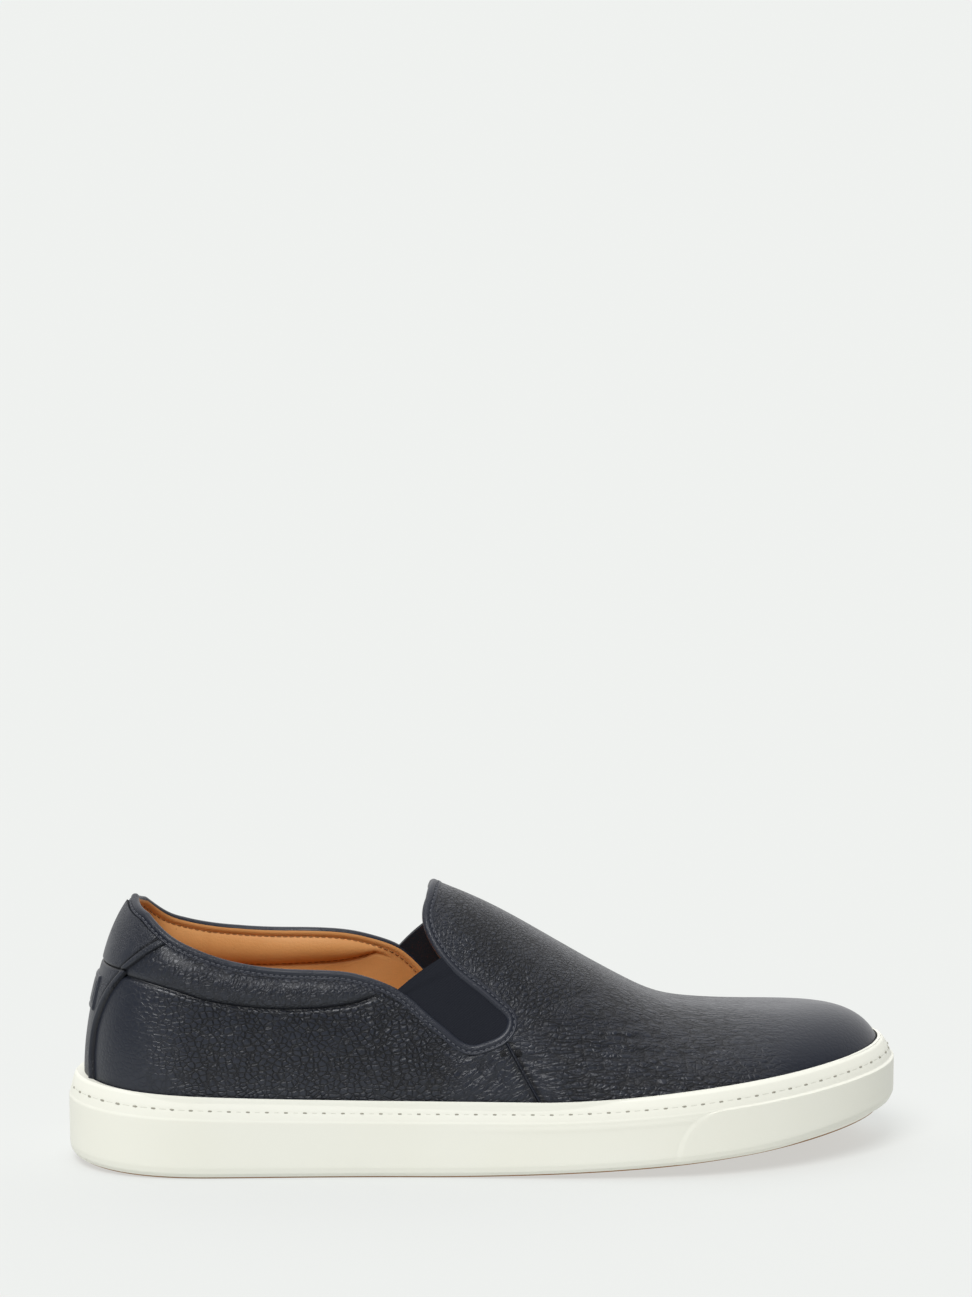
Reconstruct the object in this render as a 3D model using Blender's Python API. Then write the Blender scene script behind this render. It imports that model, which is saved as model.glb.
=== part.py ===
"""A right-foot slip-on sneaker, as separate solids.

The toe points along +X, the outer (lateral) side is -Y and +Z is up. The upper is a thin shell on the
surface of the last. That surface is worked out from an outline at the sole, a ridge along the top and
ribs between them, and every other piece of the upper takes its place from the same surface.
"""

import math

import bmesh
import bpy
import numpy as np

# Sizes of the whole shoe, in metres
LENGTH = 0.300
BALL_WIDTH = 0.107
HEEL_WIDTH = 0.077
TONGUE_HEIGHT = 0.102
TOE_SWING = 0.007
CLEARANCE = 0.0003
CUP_CLEARANCE = 0.0006
LIP_WALL = 0.0011
LIP_ROUND = 0.0006
WELD = 0.00001

# Sole
SIDEWALL_HEIGHT = 0.0279
HEEL_LIFT = 0.0022
HEEL_KICK = 0.0045
TOE_SPRING = 0.0128
RIM_RISE = 0.0108
RIM_SPRING_START = 0.56
SPRING_START = 0.42
SPRING_CURVE = 1.6
TREAD_SPRING_START = 0.62
HEEL_FLOOR = 0.018
BALL_FLOOR = 0.0105
RIM_INSET = 0.0022
RIM_INSET_TOE = 0.0038
EDGE_BEVEL = 0.0016
TOE_BEVEL = 0.0040
BAND_STEP = 0.0005
BAND_STEP_HEEL = 0.0007
BUMPER_STEP = 0.0007
TREAD_INSET = 0.0032
TREAD_THICKNESS = 0.0030
TREAD_STAND = 0.0007
GROOVE_DEPTH = 0.0010
GROOVE_WIDTH = 0.0030
GROOVE_PITCH = 0.0115

# Upper
WALL = 0.0022
UPPER_INSET = 0.0052
UPPER_INSET_HEEL = 0.0032
UPPER_INSET_TOE = 0.0006
BELLY = 0.0020
RIDGE_BACK = 0.176
RIDGE_FRONT = 0.875
COLLAR_PAD_OUT = 0.0017
COLLAR_PAD_IN = 0.0026
MEDIAL_RISE = 0.0042
MEDIAL_FORWARD = 0.0048
BINDING_RADIUS = 0.00145
GORE_THICKNESS = 0.0011
OVERLAY_THICKNESS = 0.0009
OVERLAY_GAP = 0.00045
SEAM_WIDTH = 0.0017
SEAM_HEIGHT = 0.0007
PATCH_WIDTH = 0.014
PATCH_HEIGHT = 0.0125
PATCH_MIDDLE = 0.0616
PATCH_THICKNESS = 0.0010
INSOLE_THICKNESS = 0.0045

LATERAL = -1
MEDIAL = 1

# Plan of the sole. at: share of the length. of_heel: share of the heel width. lateral and medial: shares
# of the ball width. A half width is the heel share and the ball share added.
OUTLINE = {
    "at": (0, 0.02, 0.06, 0.12, 0.20, 0.30, 0.40, 0.50, 0.58, 0.66, 0.72, 0.78, 0.84, 0.90, 0.95, 0.985, 1),
    "of_heel": (0, 0.258, 0.398, 0.473, 0.50, 0.38, 0.24, 0.10, 0.03, 0, 0, 0, 0, 0, 0, 0, 0),
    "lateral": (0, 0, 0, 0, 0, 0.100, 0.222, 0.358, 0.443, 0.490, 0.497, 0.482, 0.443, 0.372, 0.278, 0.160, 0),
    "medial": (0, 0, 0, 0, 0, 0.072, 0.168, 0.290, 0.390, 0.458, 0.485, 0.486, 0.457, 0.391, 0.295, 0.170, 0),
}

# Top line of the last. at: share of the length. height: share of the tongue height. aside: how far the
# ridge stands towards the inner side, as a share of the ball width. Behind the tongue it is the last's cone.
RIDGE = {
    "at": (0.176, 0.28, 0.38, 0.445, 0.50, 0.583, 0.667, 0.708, 0.75, 0.80, 0.875),
    "height": (1.155, 1.112, 1.040, 0.966, 0.893, 0.751, 0.603, 0.543, 0.515, 0.501, 0.496),
    "aside": (0, 0.004, 0.012, 0.020, 0.025, 0.032, 0.038, 0.040, 0.042, 0.042, 0.040),
}

# Sections of the last. at: share of the length. square: exponent of the section's arc, 2 for an ellipse.
# lateral and medial: share of the belly that the wall swells past the edge of the sole.
SECTIONS = {
    "at": (0, 0.20, 0.40, 0.55, 0.70, 0.85, 1),
    "square": (2.00, 2.05, 2.10, 2.08, 2.10, 2.45, 2.90),
    "lateral": (1.0, 0.8, 0.9, 1.2, 1.3, 1.1, 1.0),
    "medial": (1.0, 0.7, 0.2, 0.7, 1.3, 1.2, 1.0),
}

# Line of the bound edge seen from the side, from the middle of the heel, along the collar, down and round
# the elastic's notch and up the vamp to the tongue's tip. at: share of the length. height: share of the
# tongue height.
EDGE = {
    "at": (
        0.082, 0.094, 0.106, 0.122, 0.143, 0.172, 0.207, 0.255, 0.305, 0.335, 0.357, 0.378, 0.398, 0.420,
        0.447, 0.462, 0.475, 0.492, 0.511, 0.520, 0.521, 0.511, 0.487, 0.462, 0.439, 0.429, 0.427, 0.433, 0.443,
    ),
    "height": (
        0.938, 0.898, 0.863, 0.826, 0.795, 0.762, 0.735, 0.716, 0.709, 0.699, 0.681, 0.657, 0.622, 0.565,
        0.499, 0.465, 0.453, 0.464, 0.489, 0.522, 0.553, 0.588, 0.648, 0.706, 0.785, 0.845, 0.890, 0.938, 0.966,
    ),
}
SEAM_ROW = 18
GORE_TOP_ROW = 11.4
GORE_BOTTOM_ROW = 16.5
TONGUE_ROW = 28
SEAM_FOOT = 0.585

# Depth of the padded collar below the bound edge. at: share of the length. depth: share of the tongue height.
PAD = {
    "at": (0, 0.082, 0.094, 0.122, 0.155, 0.19, 0.222, 0.255, 0.285, 0.321, 0.345, 0.36, 0.375, 0.39, 0.60),
    "depth": (0.220, 0.218, 0.190, 0.142, 0.129, 0.120, 0.113, 0.108, 0.102, 0.087, 0.060, 0.032, 0.006, 0, 0),
}
LEAST_PAD_ROW = 0.028

# Side edge of the heel piece. height: share of the tongue height. at: share of the length.
HEEL_PIECE = {
    "height": (0.30, 0.39, 0.44, 0.50, 0.55, 0.60, 0.655, 0.705),
    "at": (0.0325, 0.0320, 0.0335, 0.037, 0.042, 0.049, 0.060, 0.073),
}
TAB_SEAM_HEIGHT = 0.712
TAB_CORNER_ROW = 3

NAVY = (0.012, 0.016, 0.028, 1)
CREAM = (0.78, 0.78, 0.69, 1)
TAN = (0.42, 0.20, 0.07, 1)
HONEY = (0.36, 0.22, 0.11, 1)
ELASTIC_NAVY = (0.008, 0.012, 0.024, 1)


def clear_scene():
    for old in list(bpy.data.objects):
        bpy.data.objects.remove(old)


def second_slopes(knots, values):
    """Second derivatives of the natural cubic spline through a column of a table."""
    count = len(knots)
    steps = np.diff(knots)
    system = np.eye(count)
    right = np.zeros(count)
    for i in range(1, count - 1):
        system[i, i - 1 : i + 2] = steps[i - 1], 2 * (steps[i - 1] + steps[i]), steps[i]
        right[i] = 6 * ((values[i + 1] - values[i]) / steps[i] - (values[i] - values[i - 1]) / steps[i - 1])
    return np.linalg.solve(system, right)


def smooth(knots, values, at):
    """Value at a place between the rows of a table, on one smooth curve."""
    knots, values = np.asarray(knots, float), np.asarray(values, float)
    bends = second_slopes(knots, values)
    at = np.clip(np.asarray(at, float), knots[0], knots[-1])
    i = np.clip(np.searchsorted(knots, at) - 1, 0, len(knots) - 2)
    step = knots[i + 1] - knots[i]
    b = (at - knots[i]) / step
    a = 1 - b
    curve = (a**3 - a) * bends[i] + (b**3 - b) * bends[i + 1]
    return a * values[i] + b * values[i + 1] + curve * step**2 / 6


def ramp(value, start, end):
    """0 before start, 1 after end, and a soft step between."""
    share = np.clip((value - start) / (end - start), 0, 1)
    return share * share * (3 - 2 * share)


def length_share(turn):
    """Share of the length at a turn from 0 at the heel to 1 at the toe."""
    return (1 - np.cos(np.pi * np.asarray(turn, float))) / 2


def turn_at(share):
    return np.arccos(1 - 2 * np.clip(np.asarray(share, float), 0, 1)) / np.pi


def centre_line(share):
    return TOE_SWING * np.clip((share - 0.45) / 0.55, 0, 1) ** 2


def half_width(side, turn):
    knots = turn_at(OUTLINE["at"])
    column = OUTLINE["lateral"] if side == LATERAL else OUTLINE["medial"]
    widths = HEEL_WIDTH * np.array(OUTLINE["of_heel"]) + BALL_WIDTH * np.array(column)
    return smooth(knots, widths, turn)


def bare_outline(side, turn):
    share = length_share(turn)
    return LENGTH * share, centre_line(share) + side * half_width(side, turn)


def outline(side, turn, inset):
    """Plan point on the sole's edge, moved inwards, and the outward direction there."""
    turn = np.asarray(turn, float)
    step = 1e-4
    x, y = bare_outline(side, turn)
    x_before, y_before = bare_outline(side, np.clip(turn - step, 0, 1))
    x_after, y_after = bare_outline(side, np.clip(turn + step, 0, 1))
    out_x, out_y = side * (y_before - y_after) * -1, side * (x_after - x_before)
    out_x = -out_x
    ends = (turn < step) | (turn > 1 - step)
    out_y = np.where(ends, 0, out_y)
    size = np.hypot(out_x, out_y)
    out_x, out_y = out_x / size, out_y / size
    return x - out_x * inset, y - out_y * inset, out_x, out_y


def toe_share(share):
    """How far a station is along the part of the sole that springs up to the toe."""
    return np.clip((share - SPRING_START) / (1 - SPRING_START), 0, 1)


def underside(share):
    """Height of the bottom of the tread."""
    heel_lift = np.clip(1 - share / 0.16, 0, 1) ** 2
    return TOE_SPRING * toe_share(share) ** SPRING_CURVE + HEEL_LIFT * heel_lift


def tread_middle(share):
    """Height of the tread's flat middle, which carries the shoe from the heel to the ball."""
    spring = np.clip((share - TREAD_SPRING_START) / (1 - TREAD_SPRING_START), 0, 1)
    heel_lift = np.clip(1 - share / 0.08, 0, 1) ** 2
    return TOE_SPRING * spring**1.3 + HEEL_LIFT * heel_lift


def rim_height(share):
    kick = HEEL_KICK * np.clip(1 - share / 0.45, 0, 1) ** 2
    spring = np.clip((share - RIM_SPRING_START) / (1 - RIM_SPRING_START), 0, 1)
    return SIDEWALL_HEIGHT + kick + RIM_RISE * spring**1.4


def cup_floor(share):
    slope = 1 - ramp(share, 0.15, 0.60)
    return BALL_FLOOR + (HEEL_FLOOR - BALL_FLOOR) * slope + TOE_SPRING * toe_share(share) ** SPRING_CURVE


def tread_inset(share):
    """How far in from the sole's outline the tread plate ends, further where the toe is bevelled."""
    return TREAD_INSET + (TOE_BEVEL - EDGE_BEVEL) * ramp(share, 0.80, 1)


def softly_held(share, low, high, softness=0.05):
    above = softness * np.log1p(np.exp((share - low) / softness))
    over = softness * np.log1p(np.exp((share - high) / softness))
    return low + above - over


def ridge_point(turn):
    share = length_share(turn)
    place = softly_held(share, RIDGE_BACK, RIDGE_FRONT) + 0.08 * (turn - share)
    height = TONGUE_HEIGHT * smooth(RIDGE["at"], RIDGE["height"], place)
    return LENGTH * place, BALL_WIDTH * smooth(RIDGE["at"], RIDGE["aside"], place), height


def upper_inset(share):
    behind = np.clip(1 - share / 0.15, 0, 1) ** 2
    return UPPER_INSET + UPPER_INSET_HEEL * behind + UPPER_INSET_TOE * ramp(share, 0.7, 1)


def foot_of_rib(side, turn):
    """Where a rib of the last starts, on the floor of the sole, and the outward direction there."""
    share = length_share(turn)
    x, y, out_x, out_y = outline(side, turn, upper_inset(share))
    return x, y, cup_floor(share) + CLEARANCE, out_x, out_y


def last(side, turn, lift):
    """Point on the outside of the upper. turn runs from heel to toe, and lift from 0 at the sole to 90 degrees."""
    turn, lift = np.broadcast_arrays(np.asarray(turn, float), np.asarray(lift, float))
    share = length_share(turn)
    foot_x, foot_y, foot_z, out_x, out_y = foot_of_rib(side, turn)
    top_x, top_y, top_z = ridge_point(turn)
    square = smooth(SECTIONS["at"], SECTIONS["square"], share)
    column = SECTIONS["lateral"] if side == LATERAL else SECTIONS["medial"]
    belly = BELLY * smooth(SECTIONS["at"], column, share)
    cos, sin = np.clip(np.cos(lift), 0, 1), np.clip(np.sin(lift), 0, 1)
    radius = (cos**square + sin**square) ** (1 / square)
    across, up = cos / radius, sin / radius
    swell = belly * (up / 0.3) * np.exp(1 - up / 0.3) * cos
    x = top_x + (foot_x - top_x) * across + out_x * swell
    y = top_y + (foot_y - top_y) * across + out_y * swell
    z = foot_z + (top_z - foot_z) * up
    return np.stack([x, y, z], -1)


def outward(side, turn, lift):
    """Unit direction out of the upper."""
    step = 1e-4
    before, after = np.clip(turn - step, 0, 1), np.clip(turn + step, 0, 1)
    along = last(side, after, lift) - last(side, before, lift)
    rise = last(side, turn, np.minimum(lift + step, np.pi / 2)) - last(side, turn, np.maximum(lift - step, 0))
    normal = np.cross(along, rise) * -side
    in_middle = (np.asarray(turn) < step) | (np.asarray(turn) > 1 - step)
    normal[..., 1] = np.where(in_middle, 0, normal[..., 1])
    normal = normal / np.linalg.norm(normal, axis=-1, keepdims=True)
    on_ridge = (np.asarray(lift) > np.pi / 2 - 2 * step) & np.ones(normal.shape[:-1], bool)
    return np.where(on_ridge[..., None], ridge_normal(np.broadcast_to(turn, on_ridge.shape)), normal)


def ridge_normal(turn):
    wide = 0.01
    x_before, _, z_before = ridge_point(np.clip(turn - wide, 0, 1))
    x_after, _, z_after = ridge_point(np.clip(turn + wide, 0, 1))
    run, rise = x_after - x_before, z_after - z_before
    size = np.hypot(run, rise)
    return np.stack([-rise / size, np.zeros_like(run), run / size], -1)


def lift_of_height(side, turn, height):
    """The lift at which a rib reaches a height."""
    share = length_share(turn)
    foot_z = cup_floor(share) + CLEARANCE
    up = np.clip((height - foot_z) / (ridge_point(turn)[2] - foot_z), 0, 1)
    square = smooth(SECTIONS["at"], SECTIONS["square"], share)
    return np.arctan2(up, np.maximum(1 - up**square, 0) ** (1 / square))


def on_last(side, x, height):
    """turn and lift of the point of the upper that is at x and a height, as seen from the side."""
    x, height = np.asarray(x, float), np.asarray(height, float)
    low, high = np.zeros_like(x), np.ones_like(x)
    for _ in range(40):
        middle = (low + high) / 2
        found = last(side, middle, lift_of_height(side, middle, height))[..., 0]
        low, high = np.where(found < x, middle, low), np.where(found < x, high, middle)
    turn = (low + high) / 2
    return turn, lift_of_height(side, turn, height)


def edge_line(row):
    """Side view of the bound edge at a row of the table: x and height."""
    xs, zs = LENGTH * np.array(EDGE["at"]), TONGUE_HEIGHT * np.array(EDGE["height"])
    run = np.concatenate([[0], np.cumsum(np.hypot(np.diff(xs), np.diff(zs)))])
    run_at = np.interp(row, np.arange(len(run)), run)
    return smooth(run, xs, run_at), smooth(run, zs, run_at)


def medial_edge(x, z, row):
    """The inner side's edge runs a little higher along the collar and turns down a little further forward."""
    forward = MEDIAL_FORWARD * ramp(row, 4, 12) * (1 - ramp(row, 26, TONGUE_ROW))
    return x + forward, z + MEDIAL_RISE * ramp(row, 3, 8) * (1 - ramp(row, 11, 15))


def edge_on_last(side, row):
    """turn and lift of the bound edge on one side of the upper."""
    x, z = edge_line(row)
    if side == MEDIAL:
        x, z = medial_edge(x, z, row)
    turn, lift = on_last(side, x, z)
    behind, near_tip = row < 1, row > TONGUE_ROW - 1
    if np.any(behind):
        turn = np.where(behind, row * edge_on_last(side, np.array([1.0]))[0], turn)
        lift = np.where(behind, lift_of_height(side, turn, z), lift)
    if np.any(near_tip):
        near_turn, near_lift = edge_on_last(side, np.array([TONGUE_ROW - 1.0]))
        tip_turn = turn_of_ridge(edge_line(np.array([float(TONGUE_ROW)]))[0])
        share = row - (TONGUE_ROW - 1)
        turn = np.where(near_tip, near_turn + (tip_turn - near_turn) * share, turn)
        lift = np.where(near_tip, near_lift + (np.pi / 2 - near_lift) * share, lift)
    return turn, lift


def edge_chart(side, row, off):
    """turn and lift of a line beside the bound edge, at a distance from it over the leather."""
    row = np.asarray(row, float)
    turn, lift = edge_on_last(side, row)
    step, near = 0.05, 1e-4
    after = last(side, *edge_on_last(side, np.minimum(row + step, TONGUE_ROW)))
    before = last(side, *edge_on_last(side, np.maximum(row - step, 0)))
    travel = after - before
    travel[(row <= 0) | (row >= TONGUE_ROW)] *= (0, 1, 0)
    away = np.cross(travel, outward(side, turn, lift)) * -side
    away = away / np.linalg.norm(away, axis=-1, keepdims=True) * off
    forward, back = np.minimum(turn + near, 1), np.maximum(turn - near, 0)
    along = (last(side, forward, lift) - last(side, back, lift)) / (forward - back)[..., None]
    top = np.minimum(lift + near, np.pi / 2)
    rise = (last(side, turn, top) - last(side, turn, lift - near)) / (top - lift + near)[..., None]
    a, b, c = (along * along).sum(-1), (along * rise).sum(-1), (rise * rise).sum(-1)
    p, q = (along * away).sum(-1), (rise * away).sum(-1)
    scale = a * c - b * b
    moved = np.where(row >= TONGUE_ROW, off / np.sqrt(a), (c * p - b * q) / scale)
    turn = np.where(row <= 0, 0, turn + moved)
    lift = np.where(row >= TONGUE_ROW, np.pi / 2, lift + (a * q - b * p) / scale)
    return turn, lift


def turn_of_ridge(x):
    low, high = np.zeros_like(x), np.ones_like(x)
    for _ in range(40):
        middle = (low + high) / 2
        found = ridge_point(middle)[0]
        low, high = np.where(found < x, middle, low), np.where(found < x, high, middle)
    return (low + high) / 2


def pad_depth(x):
    return TONGUE_HEIGHT * np.maximum(smooth(PAD["at"], PAD["depth"], x / LENGTH), 0)


def pad_start(side, row, turn, lift):
    """Share of a column, from the sole to the bound edge, at which the collar's padding starts."""
    depth = np.maximum(pad_depth(edge_line(row)[0]), LEAST_PAD_ROW * TONGUE_HEIGHT)
    height = last(side, turn, lift)[..., 2]
    return lift_of_height(side, turn, height - depth) / lift


def pad_hump(row, share, start):
    """How full the padding is, 0 to 1, at a share of a column."""
    full = np.clip(pad_depth(edge_line(row)[0]) / (0.09 * TONGUE_HEIGHT), 0, 1)
    full = full * (0.35 + 0.65 * ramp(row, 1, 4))
    return full * np.sin(np.pi * np.clip((share - start) / (1 - start), 0, 1)) ** 0.7


def padding(side, turn, lift):
    """How full the collar's padding is under a point of the heel."""
    off = BINDING_RADIUS + CLEARANCE
    rows = np.linspace(0, 6, 61)
    top_turn, top_lift = edge_chart(side, rows, off)
    start = pad_start(side, rows, top_turn, top_lift)
    row = np.interp(turn, top_turn, rows)
    share = lift / np.interp(row, rows, top_lift)
    return pad_hump(row, share, np.interp(row, rows, start))


def quarter_rows(per_row):
    """Rows of the edge where the quarter has a column, closer together round the heel."""
    return np.concatenate([np.linspace(0, 2, 4 * per_row + 1)[:-1], np.linspace(2, SEAM_ROW, 16 * per_row + 1)])


def quarter_grid(side, rows_below, rows_in_pad, per_row):
    """Chart of the back half of the upper: turn, lift and padding on a grid of columns and rows."""
    off = BINDING_RADIUS + CLEARANCE
    rows = quarter_rows(per_row)
    top_turn, top_lift = edge_chart(side, rows, off)
    foot_turn = seam_foot_turn(side)
    lean = (rows / SEAM_ROW) ** 2
    low_turn = top_turn + (foot_turn - top_turn[-1]) * lean
    pad_share = pad_start(side, rows, top_turn, top_lift)
    below = np.linspace(0, 1, rows_below + 1)[:, None] * pad_share
    inside = np.linspace(0, 1, rows_in_pad + 1)[1:, None]
    share = np.concatenate([below, pad_share + (1 - pad_share) * inside])
    turn = low_turn + (top_turn - low_turn) * share
    lift = top_lift * share
    return turn, lift, pad_hump(rows, share, pad_share)


def seam_foot_turn(side):
    height = cup_floor(SEAM_FOOT) + CLEARANCE
    return float(on_last(side, LENGTH * SEAM_FOOT, height)[0])


def vamp_rows(per_row):
    """Rows of the edge, past the side seam, where the vamp has a row of points."""
    return np.linspace(SEAM_ROW, TONGUE_ROW, (TONGUE_ROW - SEAM_ROW) * per_row + 1)[1:]


def vamp_grid(side, seam_turn, seam_lift, per_row, columns):
    """Chart of the front half of the upper, from the side seam and the vamp's edge to the toe."""
    off = BINDING_RADIUS + CLEARANCE
    edge_turn, edge_lift = edge_chart(side, vamp_rows(per_row), off)
    start_turn = np.concatenate([seam_turn, edge_turn])[:, None]
    start_lift = np.concatenate([seam_lift, edge_lift])[:, None]
    toe_lift = np.linspace(0, np.pi / 2, len(start_lift))[:, None]
    share = np.linspace(0, 1, columns + 1)[None, :]
    return start_turn + (1 - start_turn) * share, start_lift + (toe_lift - start_lift) * share


def sheet_points(side, turn, lift, depth):
    """Points on the last moved outwards by depth, in the shoe's frame."""
    depth = np.asarray(depth)[..., None] if np.ndim(depth) else depth
    return in_frame(last(side, turn, lift) + outward(side, turn, lift) * depth)


def in_frame(points):
    """Moves points so that the origin is under the middle of the sole."""
    turns = np.linspace(0, 1, 400)
    low = bare_outline(LATERAL, turns)[1].min()
    high = bare_outline(MEDIAL, turns)[1].max()
    return np.asarray(points) - np.array([(LENGTH + BUMPER_STEP) / 2, (low + high) / 2, 0])


class Shell:
    """Collects grids of an outer and an inner surface and closes them to one solid."""

    def __init__(self):
        self.index = {}
        self.outer = []
        self.inner = []
        self.faces = []

    def corner(self, outer, inner):
        key = tuple(np.round(np.asarray(outer) * 2e5).astype(int))
        if key not in self.index:
            self.index[key] = len(self.outer)
            self.outer.append(outer)
            self.inner.append(inner)
        return self.index[key]

    def add(self, outer, inner, flip):
        """Adds a grid. Its faces point out of the outer surface."""
        rows, columns = outer.shape[:2]
        ids = [[self.corner(outer[i, j], inner[i, j]) for j in range(columns)] for i in range(rows)]
        for i in range(rows - 1):
            for j in range(columns - 1):
                face = [ids[i][j], ids[i][j + 1], ids[i + 1][j + 1], ids[i + 1][j]]
                face = [v for n, v in enumerate(face) if v != face[n - 1]]
                if len(set(face)) > 2:
                    self.faces.append(face[::-1] if flip else face)

    def solid(self, name, material):
        count = len(self.outer)
        used = {}
        for face in self.faces:
            for a, b in zip(face, face[1:] + face[:1]):
                used[(a, b)] = used.get((a, b), 0) + 1
        rim = [(a, b) for a, b in used if (b, a) not in used]
        faces = list(self.faces)
        faces += [[v + count for v in reversed(face)] for face in self.faces]
        faces += [[b, a, a + count, b + count] for a, b in rim]
        return make_object(name, self.outer + self.inner, faces, material)


def make_object(name, points, faces, material):
    mesh = bpy.data.meshes.new(name)
    mesh.from_pydata([tuple(map(float, p)) for p in points], [], faces)
    mesh.validate()
    shape = bmesh.new()
    shape.from_mesh(mesh)
    bmesh.ops.remove_doubles(shape, verts=shape.verts, dist=WELD)
    bmesh.ops.recalc_face_normals(shape, faces=shape.faces)
    if shape.calc_volume(signed=True) < 0:
        bmesh.ops.reverse_faces(shape, faces=shape.faces)
    shape.to_mesh(mesh)
    shape.free()
    mesh.shade_smooth()
    mesh.set_sharp_from_angle(angle=math.radians(38))
    mesh.materials.append(material)
    made = bpy.data.objects.new(name, mesh)
    bpy.context.scene.collection.objects.link(made)
    return made


def make_material(name, colour, roughness):
    material = bpy.data.materials.new(name)
    material.use_nodes = True
    shader = material.node_tree.nodes["Principled BSDF"]
    shader.inputs["Base Color"].default_value = colour
    shader.inputs["Roughness"].default_value = roughness
    shader.inputs["Metallic"].default_value = 0
    return material


def build_upper(material, rows_below=5, rows_in_pad=3, per_row=2, columns=12):
    """The leather shell, lined: one wall that is open at the collar, the notches and underneath."""
    shell = Shell()
    for side in (LATERAL, MEDIAL):
        turn, lift, hump = quarter_grid(side, rows_below, rows_in_pad, per_row)
        outer = sheet_points(side, turn, lift, COLLAR_PAD_OUT * hump)
        inner = sheet_points(side, turn, lift, -WALL - COLLAR_PAD_IN * hump)
        shell.add(outer, inner, side == MEDIAL)
        turn, lift = vamp_grid(side, turn[:, -1], lift[:, -1], per_row, columns)
        shell.add(sheet_points(side, turn, lift, 0.0), sheet_points(side, turn, lift, -WALL), side == MEDIAL)
    return shell.solid("upper", material)


def ring_turns(count):
    return np.linspace(0, 1, count + 1)


def bumper_lean(turn, level):
    """Leans the sole's columns so that one of them follows the rear edge of the toe bumper."""
    place = length_share(turn)
    near = np.exp(-(((place - 0.715) / 0.06) ** 2))
    return turn + 0.030 * (level - 0.4) * near


def rim_room(side, turn):
    """How far in from the sole's outline the rim may lean and still keep its lip beside the upper."""
    top = lift_of_height(side, turn, rim_height(length_share(turn)))
    inner = last(side, turn, top) + outward(side, turn, top) * CUP_CLEARANCE
    x, y, out_x, out_y = outline(side, turn, 0.0)
    return (x - inner[:, 0]) * out_x + (y - inner[:, 1]) * out_y - LIP_WALL


def build_cupsole(material, columns=38):
    """The moulded rubber cup: side wall with its band and toe bumper, rim, inner wall and floor."""
    levels = (0.0, 0.45, 1.0, 1.6, 2.0, 2.35, 3.0, 3.6, 4.0)
    heights = (0.0, 0.05, 0.13, 0.70, 0.715, 0.735, 0.86, 0.97, 1.0)
    insets = (0.0, 0.0, 0.0, 0.0, 0.0, 0.15, 0.45, 0.85, 1.25)
    bevels = (1.0, 0.30, 0.0, 0.0, 0.0, 0.0, 0.0, 0.0, 0.0)
    steps = (0.0, 0.0, 0.0, 0.0, 0.0, 1.0, 1.0, 1.0, 1.0)
    points, faces = [], []
    rings = {}
    for side in (LATERAL, MEDIAL):
        straight = ring_turns(columns)
        profile = []
        for inset_share in (1, 0):
            share = length_share(straight)
            x, y, _, _ = outline(side, straight, tread_inset(share) - CLEARANCE)
            lip = underside(share) + TREAD_STAND
            z = lip + (TREAD_THICKNESS - TREAD_STAND + CLEARANCE) * inset_share
            profile.append(np.stack([x, y, z], -1))
        for level, height, inset, bevel, step in zip(levels, heights, insets, bevels, steps):
            turn = bumper_lean(straight, height)
            share = length_share(turn)
            toe = ramp(share, 0.80, 1)
            rim = RIM_INSET + (RIM_INSET_TOE - RIM_INSET) * toe
            edge = EDGE_BEVEL + (TOE_BEVEL - EDGE_BEVEL) * toe
            bumper = BUMPER_STEP * ramp(share, 0.705, 0.722)
            band = BAND_STEP + BAND_STEP_HEEL * (1 - ramp(share, 0.02, 0.2))
            off = inset * rim + bevel * edge + step * band + BUMPER_STEP - bumper * (1 - step)
            if inset > 0:
                off = np.minimum(off, rim_room(side, turn) - LIP_ROUND * (1 - inset / insets[-1]))
            x, y, _, _ = outline(side, turn, off)
            low = underside(share) + TREAD_STAND + toe * 0.0015 * bevel
            rise = height + toe * 0.09 * (level == 1.0) + toe * 0.05 * (level == 0.45)
            z = low + (rim_height(share) - low) * rise
            profile.append(np.stack([x, y, z], -1))
        share = length_share(straight)
        for part in (0.985, 0.66, 0.33, 0.0):
            top = lift_of_height(side, straight, rim_height(share))
            inner = last(side, straight, top * part)
            profile.append(inner + outward(side, straight, top * part) * CUP_CLEARANCE)
        profile[-1] = profile[-1] - np.array([0, 0, CLEARANCE])
        rings[side] = np.array([in_frame(p) for p in profile])
    return ring_solid("cupsole", rings, material)


def ring_solid(name, rings, material):
    """One solid from profiles that run round both sides, closed across the shoe at their two ends."""
    points, faces, index = [], [], {}

    def corner(point):
        key = tuple(np.round(np.asarray(point) * 2e5).astype(int))
        if key not in index:
            index[key] = len(points)
            points.append(point)
        return index[key]

    def face(*corners):
        kept = [v for n, v in enumerate(corners) if v != corners[n - 1]]
        if len(set(kept)) > 2:
            faces.append(kept)

    ids = {side: [[corner(p) for p in line] for line in grid] for side, grid in rings.items()}
    for side, grid in ids.items():
        for low, high in zip(grid, grid[1:]):
            for j in range(len(low) - 1):
                face(low[j], low[j + 1], high[j + 1], high[j])
    for row in (0, -1):
        left, right = ids[LATERAL][row], ids[MEDIAL][row]
        for j in range(len(left) - 1):
            face(left[j], left[j + 1], right[j + 1], right[j])
    return make_object(name, points, faces, material)


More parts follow.
